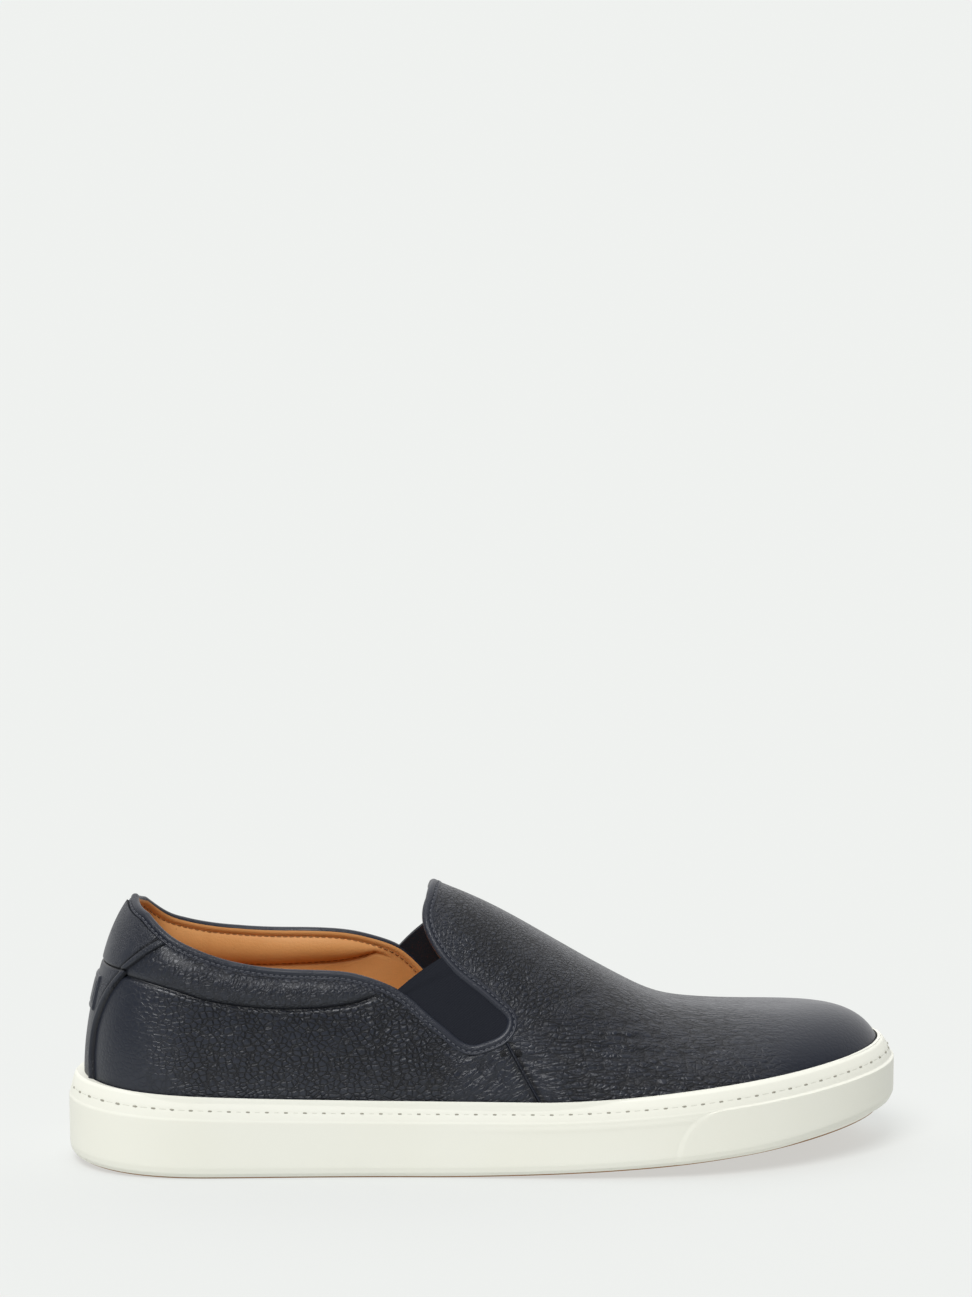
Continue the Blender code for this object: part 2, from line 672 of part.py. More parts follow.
def build_outsole(material):
    """The tread: a thin plate let into the bottom of the cup, with straight flex grooves across it."""
    places = [0.0]
    groove = GROOVE_WIDTH / LENGTH / 2
    marks = np.arange(GROOVE_PITCH, LENGTH - GROOVE_PITCH, GROOVE_PITCH) / LENGTH
    depths = [0.0]
    for mark in marks:
        places += [mark - groove, mark, mark + groove]
        depths += [0.0, 1.0, 0.0]
    places = turn_at(np.array([*places, 1.0]))
    depths = np.array([*depths, 0.0])
    share = length_share(places)
    rings = {}
    for side in (LATERAL, MEDIAL):
        profile = []
        for inset, camber, height, cut in ((0.014, 1, 0, 1), (0.0012, 0, 0, 1), (0, 0, 0.0006, 1)):
            x, y, _, _ = outline(side, places, tread_inset(share) + inset)
            z = underside(share) * (1 - camber) + tread_middle(share) * camber
            profile.append(np.stack([x, y, z + height + cut * depths * GROOVE_DEPTH], -1))
        x, y, _, _ = outline(side, places, tread_inset(share))
        profile.append(np.stack([x, y, underside(share) + TREAD_THICKNESS], -1))
        rings[side] = np.array([in_frame(p) for p in profile])
    return ring_solid("outsole", rings, material)


def build_insole(material, columns=30):
    """The leather sock on its board, with a low edge that follows the inside of the upper."""
    turn = ring_turns(columns)
    share = length_share(turn)
    rings = {}
    for side in (LATERAL, MEDIAL):
        profile = []
        for rise, inset in ((0.0, 0.0), (1.0, 0.0), (1.15, 0.007)):
            x, y, _, _ = outline(side, turn, upper_inset(share) + WALL + 3 * CLEARANCE + inset)
            profile.append(np.stack([x, y, cup_floor(share) + CLEARANCE + INSOLE_THICKNESS * rise], -1))
        rings[side] = np.array([in_frame(p) for p in profile])
    return ring_solid("insole", rings, material)


def build_gore(side, name, top_front_row, material, across=5, down=9):
    """The elastic panel that fills one notch, as far up as the collar's front corner."""
    off = -(BINDING_RADIUS + CLEARANCE)
    back_turn, back_lift = edge_chart(side, np.linspace(GORE_TOP_ROW, GORE_BOTTOM_ROW, down + 1), off)
    front_turn, front_lift = edge_chart(side, np.linspace(top_front_row, GORE_BOTTOM_ROW, down + 1), off)
    share = np.linspace(0, 1, across + 1)[None, :]
    turn = back_turn[:, None] + (front_turn - back_turn)[:, None] * share
    lift = back_lift[:, None] + (front_lift - back_lift)[:, None] * share
    shell = Shell()
    top = -(WALL - GORE_THICKNESS) / 2
    outer = sheet_points(side, turn, lift, top)
    inner = sheet_points(side, turn, lift, top - GORE_THICKNESS)
    shell.add(outer, inner, side == LATERAL)
    return shell.solid(name, material)


def build_binding(material):
    """The rolled edge: one round cord of leather along the whole opening."""
    rows = np.concatenate([quarter_rows(2), vamp_rows(2)])
    loop = []
    for side, kept in ((LATERAL, rows), (MEDIAL, rows[::-1][1:-1])):
        turn, lift = edge_chart(side, kept, 0.0)
        loop.append(sheet_points(side, turn, lift, -WALL / 2))
    loop = np.concatenate(loop)
    curve = bpy.data.curves.new("topline_binding", "CURVE")
    curve.dimensions = "3D"
    curve.bevel_depth = BINDING_RADIUS
    curve.bevel_resolution = 1
    curve.use_fill_caps = True
    line = curve.splines.new("POLY")
    line.points.add(len(loop) - 1)
    for point, place in zip(line.points, loop):
        point.co = (*place, 1)
    line.use_cyclic_u = True
    curve.materials.append(material)
    made = bpy.data.objects.new("topline_binding", curve)
    bpy.context.scene.collection.objects.link(made)
    return made


def build_heel_tab(material, columns=8, rows=4):
    """The leather piece over the back of the collar, from its seam up to the bound edge."""
    shell = Shell()
    off = BINDING_RADIUS + 2 * CLEARANCE
    low = TAB_SEAM_HEIGHT * TONGUE_HEIGHT
    share = np.linspace(0, 1, rows)[:, None]
    for side in (LATERAL, MEDIAL):
        corner_x = LENGTH * HEEL_PIECE["at"][-1]
        corner_turn = on_last(side, corner_x, low)[0]
        top_turn, top_lift = edge_chart(side, np.linspace(0, TAB_CORNER_ROW, columns), off)
        low_turn = corner_turn * np.linspace(0, 1, columns)
        low_lift = lift_of_height(side, low_turn, low)
        turn = low_turn + (top_turn - low_turn) * share
        lift = low_lift + (top_lift - low_lift) * share
        near = OVERLAY_GAP + COLLAR_PAD_OUT * padding(side, turn, lift)
        outer = sheet_points(side, turn, lift, near + OVERLAY_THICKNESS)
        shell.add(outer, sheet_points(side, turn, lift, near), side == MEDIAL)
    return shell.solid("heel_tab", material)


def build_back_strip(material, columns=4, rows=9):
    """The strip up the middle of the back, from the sole's rim to the heel tab."""
    shell = Shell()
    for side in (LATERAL, MEDIAL):
        bottom = rim_height(0) + 2 * CLEARANCE
        top = TAB_SEAM_HEIGHT * TONGUE_HEIGHT - 2 * CLEARANCE
        levels = np.linspace(bottom, top, rows)
        x = LENGTH * smooth(HEEL_PIECE["height"], HEEL_PIECE["at"], levels / TONGUE_HEIGHT)
        turn = on_last(side, x, levels)[0][:, None] * np.linspace(0, 1, columns)[None, :]
        lift = lift_of_height(side, turn, np.broadcast_to(levels[:, None], turn.shape))
        near = OVERLAY_GAP + COLLAR_PAD_OUT * padding(side, turn, lift)
        outer = sheet_points(side, turn, lift, near + OVERLAY_THICKNESS)
        shell.add(outer, sheet_points(side, turn, lift, near), side == MEDIAL)
    return shell.solid("back_strip", material)


def build_heel_patch(material, columns=3, rows=4):
    """A small plain raised piece on the back strip."""
    shell = Shell()
    near = OVERLAY_GAP + OVERLAY_THICKNESS + OVERLAY_GAP
    heights = PATCH_MIDDLE + PATCH_HEIGHT * np.linspace(-0.5, 0.5, rows)
    for side in (LATERAL, MEDIAL):
        middle_lift = lift_of_height(side, 0.02, PATCH_MIDDLE)
        per_turn = abs(last(side, 0.02, middle_lift)[1] - last(side, 0, middle_lift)[1]) / 0.02
        turn = np.linspace(0, PATCH_WIDTH / 2 / per_turn, columns)[None, :] * np.ones((rows, 1))
        lift = lift_of_height(side, turn, np.broadcast_to(heights[:, None], turn.shape))
        outer = sheet_points(side, turn, lift, near + PATCH_THICKNESS)
        shell.add(outer, sheet_points(side, turn, lift, near), side == MEDIAL)
    return shell.solid("heel_patch", material)


def seam_line(side, share):
    """turn and lift along the side seam, from the sole at 0 to the bound edge at 1."""
    top_turn, top_lift = edge_chart(side, np.array([float(SEAM_ROW)]), BINDING_RADIUS + CLEARANCE)
    foot_turn = seam_foot_turn(side)
    return foot_turn + (top_turn - foot_turn) * share, top_lift * share


def build_side_seam(side, name, material, rows=12):
    """The lapped seam between quarter and vamp, from the sole's rim to the notch."""
    turn, lift = seam_line(side, np.linspace(0, 1, 200))
    height = last(side, turn, lift)[:, 2]
    start = np.interp(rim_height(SEAM_FOOT) + 2 * CLEARANCE, height, np.linspace(0, 1, 200))
    turn, lift = seam_line(side, np.linspace(start, 0.97, rows))
    along = last(side, turn + 0.01, lift) - last(side, turn - 0.01, lift)
    per_turn = np.linalg.norm(along, axis=-1) / 0.02
    across = np.array([-0.5, 0, 0.5])[None, :]
    turn = turn[:, None] + across * SEAM_WIDTH / per_turn[:, None]
    lift = lift[:, None] * np.ones((1, 3))
    rise = SEAM_HEIGHT * np.array([0.55, 1.0, 0.55])[None, :] * np.ones(turn.shape)
    shell = Shell()
    outer = sheet_points(side, turn, lift, OVERLAY_GAP + rise)
    shell.add(outer, sheet_points(side, turn, lift, OVERLAY_GAP), side == MEDIAL)
    return shell.solid(name, material)


def main():
    clear_scene()
    navy = make_material("navy_leather", NAVY, 0.45)
    cream = make_material("cream_rubber", CREAM, 0.55)
    tan = make_material("tan_leather", TAN, 0.5)
    honey = make_material("honey_rubber", HONEY, 0.6)
    elastic = make_material("navy_elastic", ELASTIC_NAVY, 0.9)
    build_upper(navy)
    build_cupsole(cream)
    build_outsole(honey)
    build_insole(tan)
    build_gore(LATERAL, "gore_lateral", 23.7, elastic)
    build_gore(MEDIAL, "gore_medial", 24.5, elastic)
    build_binding(navy)
    build_heel_tab(navy)
    build_back_strip(navy)
    build_heel_patch(navy)
    build_side_seam(LATERAL, "side_seam_lateral", navy)
    build_side_seam(MEDIAL, "side_seam_medial", navy)


main()
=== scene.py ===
# %% [markdown]
# # A navy slip-on sneaker, right foot
# The shoe is a leather upper closed over a last and sewn into a rubber cup. Plain solids of it already
# exist, and this lesson dresses them: each soft piece is built again as a finer mesh in the same place, and
# every surface gets a finish made of nodes. It could be sculpted by hand, but a shoe is drawn from a few
# sections and lines, so here each piece is computed from those and stays exact from every side.

# %% Load the plain solids
import math

import bmesh
import bpy
import numpy as np
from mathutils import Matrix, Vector


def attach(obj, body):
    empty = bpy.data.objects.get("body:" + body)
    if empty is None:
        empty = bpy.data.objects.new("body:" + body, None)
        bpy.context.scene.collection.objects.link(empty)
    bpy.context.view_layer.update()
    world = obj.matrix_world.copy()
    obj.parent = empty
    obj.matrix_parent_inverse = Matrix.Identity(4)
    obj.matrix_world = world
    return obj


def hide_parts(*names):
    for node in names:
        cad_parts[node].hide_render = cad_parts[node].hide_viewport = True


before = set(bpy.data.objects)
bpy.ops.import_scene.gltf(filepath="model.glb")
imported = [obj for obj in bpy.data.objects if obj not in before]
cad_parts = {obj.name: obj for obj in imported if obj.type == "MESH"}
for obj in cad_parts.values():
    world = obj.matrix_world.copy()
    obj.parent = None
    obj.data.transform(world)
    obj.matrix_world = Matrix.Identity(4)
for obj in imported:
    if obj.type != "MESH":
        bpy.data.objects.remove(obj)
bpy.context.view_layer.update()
print("solids:", sorted(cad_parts))

# %% [markdown]
# ## The last's own sizes
# A shoemaker starts from a last, the foot-shaped block that the upper is pulled over. These are its main
# sizes in metres, the same ones that the plain solids use. The tables hold lengths as shares of a size, so
# that a longer or wider shoe keeps its character.

# %% Sizes in metres
LENGTH = 0.300
BALL_WIDTH = 0.107
HEEL_WIDTH = 0.077
TONGUE_HEIGHT = 0.102
TOE_SWING = 0.007
CLEARANCE = 0.0003
CUP_CLEARANCE = 0.0006
LIP_WALL = 0.0011
LIP_ROUND = 0.0006

SIDEWALL_HEIGHT = 0.0279
HEEL_LIFT = 0.0022
HEEL_KICK = 0.0045
TOE_SPRING = 0.0128
RIM_RISE = 0.0108
RIM_SPRING_START = 0.56
SPRING_START = 0.42
SPRING_CURVE = 1.6
HEEL_FLOOR = 0.018
BALL_FLOOR = 0.0105
RIM_INSET = 0.0022
RIM_INSET_TOE = 0.0038
EDGE_BEVEL = 0.0016
TOE_BEVEL = 0.0040
BUMPER_STEP = 0.0007
TREAD_INSET = 0.0032
TREAD_THICKNESS = 0.0030
TREAD_STAND = 0.0007

WALL = 0.0022
UPPER_INSET = 0.0052
UPPER_INSET_HEEL = 0.0032
UPPER_INSET_TOE = 0.0006
BELLY = 0.0020
RIDGE_BACK = 0.176
RIDGE_FRONT = 0.875
COLLAR_PAD_OUT = 0.0017
COLLAR_PAD_IN = 0.0026
MEDIAL_RISE = 0.0042
MEDIAL_FORWARD = 0.0048
BINDING_RADIUS = 0.00145
GORE_THICKNESS = 0.0011
OVERLAY_THICKNESS = 0.0009
OVERLAY_GAP = 0.00045
SEAM_WIDTH = 0.0017
PATCH_WIDTH = 0.014
PATCH_HEIGHT = 0.0125
PATCH_MIDDLE = 0.0616
PATCH_THICKNESS = 0.0010
INSOLE_THICKNESS = 0.0045

LATERAL = -1
MEDIAL = 1
SIDES = {LATERAL: "lateral", MEDIAL: "medial"}
print("a shoe", LENGTH, "m long and", BALL_WIDTH, "m wide at the ball")

# %% Tables of the last, the sole and the cut lines
OUTLINE = {
    "at": (0, 0.02, 0.06, 0.12, 0.20, 0.30, 0.40, 0.50, 0.58, 0.66, 0.72, 0.78, 0.84, 0.90, 0.95, 0.985, 1),
    "of_heel": (0, 0.258, 0.398, 0.473, 0.50, 0.38, 0.24, 0.10, 0.03, 0, 0, 0, 0, 0, 0, 0, 0),
    "lateral": (0, 0, 0, 0, 0, 0.1, 0.222, 0.358, 0.443, 0.49, 0.497, 0.482, 0.443, 0.372, 0.278, 0.16, 0),
    "medial": (0, 0, 0, 0, 0, 0.072, 0.168, 0.29, 0.39, 0.458, 0.485, 0.486, 0.457, 0.391, 0.295, 0.17, 0),
}
RIDGE = {
    "at": (0.176, 0.28, 0.38, 0.445, 0.50, 0.583, 0.667, 0.708, 0.75, 0.80, 0.875),
    "height": (1.155, 1.112, 1.040, 0.966, 0.893, 0.751, 0.603, 0.543, 0.515, 0.501, 0.496),
    "aside": (0, 0.004, 0.012, 0.020, 0.025, 0.032, 0.038, 0.040, 0.042, 0.042, 0.040),
}
SECTIONS = {
    "at": (0, 0.20, 0.40, 0.55, 0.70, 0.85, 1),
    "square": (2.00, 2.05, 2.10, 2.08, 2.10, 2.45, 2.90),
    "lateral": (1.0, 0.8, 0.9, 1.2, 1.3, 1.1, 1.0),
    "medial": (1.0, 0.7, 0.2, 0.7, 1.3, 1.2, 1.0),
}
EDGE = {
    "at": (
        0.082, 0.094, 0.106, 0.122, 0.143, 0.172, 0.207, 0.255, 0.305, 0.335,
        0.357, 0.378, 0.398, 0.420, 0.447, 0.462, 0.475, 0.492, 0.511, 0.520,
        0.521, 0.511, 0.487, 0.462, 0.439, 0.429, 0.427, 0.433, 0.443,
    ),
    "height": (
        0.938, 0.898, 0.863, 0.826, 0.795, 0.762, 0.735, 0.716, 0.709, 0.699,
        0.681, 0.657, 0.622, 0.565, 0.499, 0.465, 0.453, 0.464, 0.489, 0.522,
        0.553, 0.588, 0.648, 0.706, 0.785, 0.845, 0.890, 0.938, 0.966,
    ),
}
SEAM_ROW = 18
GORE_TOP_ROW = 11.4
GORE_BOTTOM_ROW = 16.5
GORE_FRONT_ROW = {LATERAL: 23.7, MEDIAL: 24.5}
TONGUE_ROW = 28
SEAM_FOOT = 0.585
PAD = {
    "at": (0, 0.082, 0.094, 0.122, 0.155, 0.19, 0.222, 0.255, 0.285, 0.321, 0.345, 0.36, 0.375, 0.39, 0.60),
    "depth": (0.22, 0.218, 0.19, 0.142, 0.129, 0.12, 0.113, 0.108, 0.102, 0.087, 0.06, 0.032, 0.006, 0, 0),
}
LEAST_PAD_ROW = 0.028
HEEL_PIECE = {
    "height": (0.30, 0.39, 0.44, 0.50, 0.55, 0.60, 0.655, 0.705),
    "at": (0.0325, 0.0320, 0.0335, 0.037, 0.042, 0.049, 0.060, 0.073),
}
TAB_SEAM_HEIGHT = 0.712
TAB_CORNER_ROW = 3
print(len(EDGE["at"]), "rows round the opening")

# %% [markdown]
# ## One curve through a table
# A table lists a few values, and the surface needs every value between them. A straight line from row to row
# would leave corners that catch the light, so a natural cubic spline passes through the rows.


# %% Curves through the tables
def second_slopes(knots, values):
    count = len(knots)
    steps = np.diff(knots)
    system = np.eye(count)
    right = np.zeros(count)
    for i in range(1, count - 1):
        system[i, i - 1 : i + 2] = steps[i - 1], 2 * (steps[i - 1] + steps[i]), steps[i]
        right[i] = 6 * ((values[i + 1] - values[i]) / steps[i] - (values[i] - values[i - 1]) / steps[i - 1])
    return np.linalg.solve(system, right)


def smooth(knots, values, at):
    knots, values = np.asarray(knots, float), np.asarray(values, float)
    bends = second_slopes(knots, values)
    at = np.clip(np.asarray(at, float), knots[0], knots[-1])
    i = np.clip(np.searchsorted(knots, at) - 1, 0, len(knots) - 2)
    step = knots[i + 1] - knots[i]
    b = (at - knots[i]) / step
    a = 1 - b
    curve = (a**3 - a) * bends[i] + (b**3 - b) * bends[i + 1]
    return a * values[i] + b * values[i + 1] + curve * step**2 / 6


def ramp(value, start, end):
    share = np.clip((value - start) / (end - start), 0, 1)
    return share * share * (3 - 2 * share)


def bell(away, width):
    """1 where away is 0, falling softly to 0 a few widths off."""
    return np.exp(-((away / width) ** 2))


def unit(arrows):
    return arrows / np.linalg.norm(arrows, axis=-1, keepdims=True)


print("tongue tip height:", round(float(smooth(RIDGE["at"], RIDGE["height"], 0.445)) * TONGUE_HEIGHT, 4))

# %% [markdown]
# ## The sole's plan and heights
# Every station along the shoe has a plan width, a height of the ground line and a height of the rim. The
# stations are counted by a turn from heel to toe, which packs them closer together at the round ends.


# %% The plan of the sole
def length_share(turn):
    return (1 - np.cos(np.pi * np.asarray(turn, float))) / 2


def turn_at(share):
    return np.arccos(1 - 2 * np.clip(np.asarray(share, float), 0, 1)) / np.pi


def centre_line(share):
    return TOE_SWING * np.clip((share - 0.45) / 0.55, 0, 1) ** 2


def half_width(side, turn):
    knots = turn_at(OUTLINE["at"])
    widths = HEEL_WIDTH * np.array(OUTLINE["of_heel"]) + BALL_WIDTH * np.array(OUTLINE[SIDES[side]])
    return smooth(knots, widths, turn)


def bare_outline(side, turn):
    share = length_share(turn)
    return LENGTH * share, centre_line(share) + side * half_width(side, turn)


def outline(side, turn, inset):
    turn = np.asarray(turn, float)
    step = 1e-4
    x, y = bare_outline(side, turn)
    x_before, y_before = bare_outline(side, np.clip(turn - step, 0, 1))
    x_after, y_after = bare_outline(side, np.clip(turn + step, 0, 1))
    out_x, out_y = side * (y_before - y_after), side * (x_after - x_before)
    ends = (turn < step) | (turn > 1 - step)
    out_y = np.where(ends, 0, out_y)
    size = np.hypot(out_x, out_y)
    out_x, out_y = out_x / size, out_y / size
    return x - out_x * inset, y - out_y * inset, out_x, out_y


# %% The heights of the sole
def toe_share(share):
    return np.clip((share - SPRING_START) / (1 - SPRING_START), 0, 1)


def underside(share):
    heel_lift = np.clip(1 - share / 0.16, 0, 1) ** 2
    return TOE_SPRING * toe_share(share) ** SPRING_CURVE + HEEL_LIFT * heel_lift


def rim_height(share):
    kick = HEEL_KICK * np.clip(1 - share / 0.45, 0, 1) ** 2
    spring = np.clip((share - RIM_SPRING_START) / (1 - RIM_SPRING_START), 0, 1)
    return SIDEWALL_HEIGHT + kick + RIM_RISE * spring**1.4


def cup_floor(share):
    slope = 1 - ramp(share, 0.15, 0.60)
    return BALL_FLOOR + (HEEL_FLOOR - BALL_FLOOR) * slope + TOE_SPRING * toe_share(share) ** SPRING_CURVE


def tread_inset(share):
    return TREAD_INSET + (TOE_BEVEL - EDGE_BEVEL) * ramp(share, 0.80, 1)


print("rim at the heel and toe:", rim_height(np.array([0.0, 1.0])).round(4))

# %% [markdown]
# ## The surface of the last
# The upper's outside is one chart with two numbers: the turn from heel to toe, and the lift from the sole to
# the ridge on top. Each rib from sole to ridge is an arc that can be made squarer, with a small belly. With
# such a chart, any seam, stitch or wrinkle is a line of pairs, and it lies on the shoe by itself.


# %% The chart of the last
def softly_held(share, low, high, softness=0.05):
    above = softness * np.log1p(np.exp((share - low) / softness))
    over = softness * np.log1p(np.exp((share - high) / softness))
    return low + above - over


def ridge_point(turn):
    share = length_share(turn)
    place = softly_held(share, RIDGE_BACK, RIDGE_FRONT) + 0.08 * (turn - share)
    height = TONGUE_HEIGHT * smooth(RIDGE["at"], RIDGE["height"], place)
    return LENGTH * place, BALL_WIDTH * smooth(RIDGE["at"], RIDGE["aside"], place), height


def upper_inset(share):
    behind = np.clip(1 - share / 0.15, 0, 1) ** 2
    return UPPER_INSET + UPPER_INSET_HEEL * behind + UPPER_INSET_TOE * ramp(share, 0.7, 1)


def foot_of_rib(side, turn):
    share = length_share(turn)
    x, y, out_x, out_y = outline(side, turn, upper_inset(share))
    return x, y, cup_floor(share) + CLEARANCE, out_x, out_y


def last(side, turn, lift):
    turn, lift = np.broadcast_arrays(np.asarray(turn, float), np.asarray(lift, float))
    share = length_share(turn)
    foot_x, foot_y, foot_z, out_x, out_y = foot_of_rib(side, turn)
    top_x, top_y, top_z = ridge_point(turn)
    square = smooth(SECTIONS["at"], SECTIONS["square"], share)
    belly = BELLY * smooth(SECTIONS["at"], SECTIONS[SIDES[side]], share)
    cos, sin = np.clip(np.cos(lift), 0, 1), np.clip(np.sin(lift), 0, 1)
    radius = (cos**square + sin**square) ** (1 / square)
    across, up = cos / radius, sin / radius
    swell = belly * (up / 0.3) * np.exp(1 - up / 0.3) * cos
    x = top_x + (foot_x - top_x) * across + out_x * swell
    y = top_y + (foot_y - top_y) * across + out_y * swell
    z = foot_z + (top_z - foot_z) * up
    return np.stack([x, y, z], -1)


# %% Which way is out
def ridge_normal(turn):
    wide = 0.01
    x_before, _, z_before = ridge_point(np.clip(turn - wide, 0, 1))
    x_after, _, z_after = ridge_point(np.clip(turn + wide, 0, 1))
    run, rise = x_after - x_before, z_after - z_before
    size = np.hypot(run, rise)
    return np.stack([-rise / size, np.zeros_like(run), run / size], -1)


def outward(side, turn, lift):
    step = 1e-4
    before, after = np.clip(turn - step, 0, 1), np.clip(turn + step, 0, 1)
    along = last(side, after, lift) - last(side, before, lift)
    rise = last(side, turn, np.minimum(lift + step, np.pi / 2)) - last(side, turn, np.maximum(lift - step, 0))
    normal = np.cross(along, rise) * -side
    in_middle = (np.asarray(turn) < step) | (np.asarray(turn) > 1 - step)
    normal[..., 1] = np.where(in_middle, 0, normal[..., 1])
    on_top = ridge_normal(np.broadcast_to(turn, normal.shape[:-1]))
    near_end = (ramp(np.asarray(turn), 0.97, 1.0) * ramp(np.asarray(lift), 1.2, 1.5))[..., None]
    normal = unit(unit(normal) * (1 - near_end) + on_top * near_end)
    on_ridge = (np.asarray(lift) > np.pi / 2 - 2 * step) & np.ones(normal.shape[:-1], bool)
    return np.where(on_ridge[..., None], on_top, normal)


def span(side, turn, lift, by_turn=0.0, by_lift=0.0):
    """Metres on the surface per unit of turn or of lift, whichever is stepped."""
    move = last(side, turn + by_turn, lift + by_lift) - last(side, turn - by_turn, lift - by_lift)
    return np.linalg.norm(move, axis=-1) / (2 * (by_turn + by_lift))


# %% Finding a point from the side view
def lift_of_height(side, turn, height):
    share = length_share(turn)
    foot_z = cup_floor(share) + CLEARANCE
    up = np.clip((height - foot_z) / (ridge_point(turn)[2] - foot_z), 0, 1)
    square = smooth(SECTIONS["at"], SECTIONS["square"], share)
    return np.arctan2(up, np.maximum(1 - up**square, 0) ** (1 / square))


def halved(goal, measure):
    """The turn, found by halving, at which a measure that grows along the shoe reaches a goal."""
    low, high = np.zeros_like(goal), np.ones_like(goal)
    for _ in range(40):
        middle = (low + high) / 2
        found = measure(middle)
        low, high = np.where(found < goal, middle, low), np.where(found < goal, high, middle)
    return (low + high) / 2


def on_last(side, x, height):
    x, height = np.broadcast_arrays(np.asarray(x, float), np.asarray(height, float))
    turn = halved(x, lambda t: last(side, t, lift_of_height(side, t, height))[..., 0])
    return turn, lift_of_height(side, turn, height)


def in_frame(points):
    turns = np.linspace(0, 1, 400)
    low = bare_outline(LATERAL, turns)[1].min()
    high = bare_outline(MEDIAL, turns)[1].max()
    return np.asarray(points) - np.array([(LENGTH + BUMPER_STEP) / 2, (low + high) / 2, 0])


def sheet_points(side, turn, lift, depth):
    depth = np.asarray(depth)[..., None] if np.ndim(depth) else depth
    return in_frame(last(side, turn, lift) + outward(side, turn, lift) * depth)


print("side of the ball:", sheet_points(LATERAL, *on_last(LATERAL, 0.2, 0.04), 0.0).round(4))

# %% [markdown]
# ## The line of the bound edge
# One closed line runs along the collar, down and round the elastic's notch and up to the tongue's tip. The
# inner side sits a little higher. Lines beside the edge, such as a row of stitches, are found by stepping a
# real distance across the surface, so they stay parallel to it round every bend.


# %% The bound edge
def edge_line(row):
    xs, zs = LENGTH * np.array(EDGE["at"]), TONGUE_HEIGHT * np.array(EDGE["height"])
    run = np.concatenate([[0], np.cumsum(np.hypot(np.diff(xs), np.diff(zs)))])
    run_at = np.interp(row, np.arange(len(run)), run)
    return smooth(run, xs, run_at), smooth(run, zs, run_at)


def medial_edge(x, z, row):
    forward = MEDIAL_FORWARD * ramp(row, 4, 12) * (1 - ramp(row, 26, TONGUE_ROW))
    return x + forward, z + MEDIAL_RISE * ramp(row, 3, 8) * (1 - ramp(row, 11, 15))


def edge_on_last(side, row):
    x, z = edge_line(row)
    if side == MEDIAL:
        x, z = medial_edge(x, z, row)
    turn, lift = on_last(side, x, z)
    behind, near_tip = row < 1, row > TONGUE_ROW - 1
    if np.any(behind):
        turn = np.where(behind, row * edge_on_last(side, np.array([1.0]))[0], turn)
        lift = np.where(behind, lift_of_height(side, turn, z), lift)
    if np.any(near_tip):
        near_turn, near_lift = edge_on_last(side, np.array([TONGUE_ROW - 1.0]))
        tip_turn = halved(edge_line(np.array([float(TONGUE_ROW)]))[0], lambda t: ridge_point(t)[0])
        share = row - (TONGUE_ROW - 1)
        turn = np.where(near_tip, near_turn + (tip_turn - near_turn) * share, turn)
        lift = np.where(near_tip, near_lift + (np.pi / 2 - near_lift) * share, lift)
    return turn, lift


def edge_chart(side, row, off):
    """The line at a distance from the bound edge, over the leather where the distance is above 0."""
    row = np.asarray(row, float)
    turn, lift = edge_on_last(side, row)
    step, near = 0.05, 1e-4
    after = last(side, *edge_on_last(side, np.minimum(row + step, TONGUE_ROW)))
    before = last(side, *edge_on_last(side, np.maximum(row - step, 0)))
    travel = after - before
    travel[(row <= 0) | (row >= TONGUE_ROW)] *= (0, 1, 0)
    away = np.cross(travel, outward(side, turn, lift)) * -side
    away = unit(away) * off
    forward, back = np.minimum(turn + near, 1), np.maximum(turn - near, 0)
    along = (last(side, forward, lift) - last(side, back, lift)) / (forward - back)[..., None]
    top = np.minimum(lift + near, np.pi / 2)
    rise = (last(side, turn, top) - last(side, turn, lift - near)) / (top - lift + near)[..., None]
    a, b, c = (along * along).sum(-1), (along * rise).sum(-1), (rise * rise).sum(-1)
    p, q = (along * away).sum(-1), (rise * away).sum(-1)
    scale = a * c - b * b
    moved = np.where(row >= TONGUE_ROW, off / np.sqrt(a), (c * p - b * q) / scale)
    turn = np.where(row <= 0, 0, turn + moved)
    lift = np.where(row >= TONGUE_ROW, np.pi / 2, lift + (a * q - b * p) / scale)
    return turn, lift


# %% The collar's padding
def pad_depth(x):
    return TONGUE_HEIGHT * np.maximum(smooth(PAD["at"], PAD["depth"], x / LENGTH), 0)


def pad_start(side, row, turn, lift):
    depth = np.maximum(pad_depth(edge_line(row)[0]), LEAST_PAD_ROW * TONGUE_HEIGHT)
    height = last(side, turn, lift)[..., 2]
    return lift_of_height(side, turn, height - depth) / lift


def pad_hump(row, share, start):
    full = np.clip(pad_depth(edge_line(row)[0]) / (0.09 * TONGUE_HEIGHT), 0, 1)
    full = full * (0.35 + 0.65 * ramp(row, 1, 4))
    return full * np.sin(np.pi * np.clip((share - start) / (1 - start), 0, 1)) ** 0.7


def padding(side, turn, lift):
    rows = np.linspace(0, 6, 61)
    top_turn, top_lift = edge_chart(side, rows, BINDING_RADIUS + CLEARANCE)
    start = pad_start(side, rows, top_turn, top_lift)
    row = np.interp(turn, top_turn, rows)
    share = lift / np.interp(row, rows, top_lift)
    return pad_hump(row, share, np.interp(row, rows, start))


print("padding below the collar's side:", pad_depth(np.array([0.06])).round(4))

# %% [markdown]
# ## Grids for the two halves of the upper
# The quarter is the back half, from the heel to the side seam, and the vamp is the front half. A grid of
# real squares about 1 mm wide follows each one. Its rows crowd together at the crease under the padded
# collar, because a crease needs points where it bends.

# %% The quarter's and the vamp's grids
EDGE_OFF = BINDING_RADIUS + CLEARANCE
QUARTER_ROWS = 46
PAD_ROWS = 20
PER_ROW = 7
VAMP_PER_ROW = 9
VAMP_COLUMNS = 128
CROWDING = 1.35


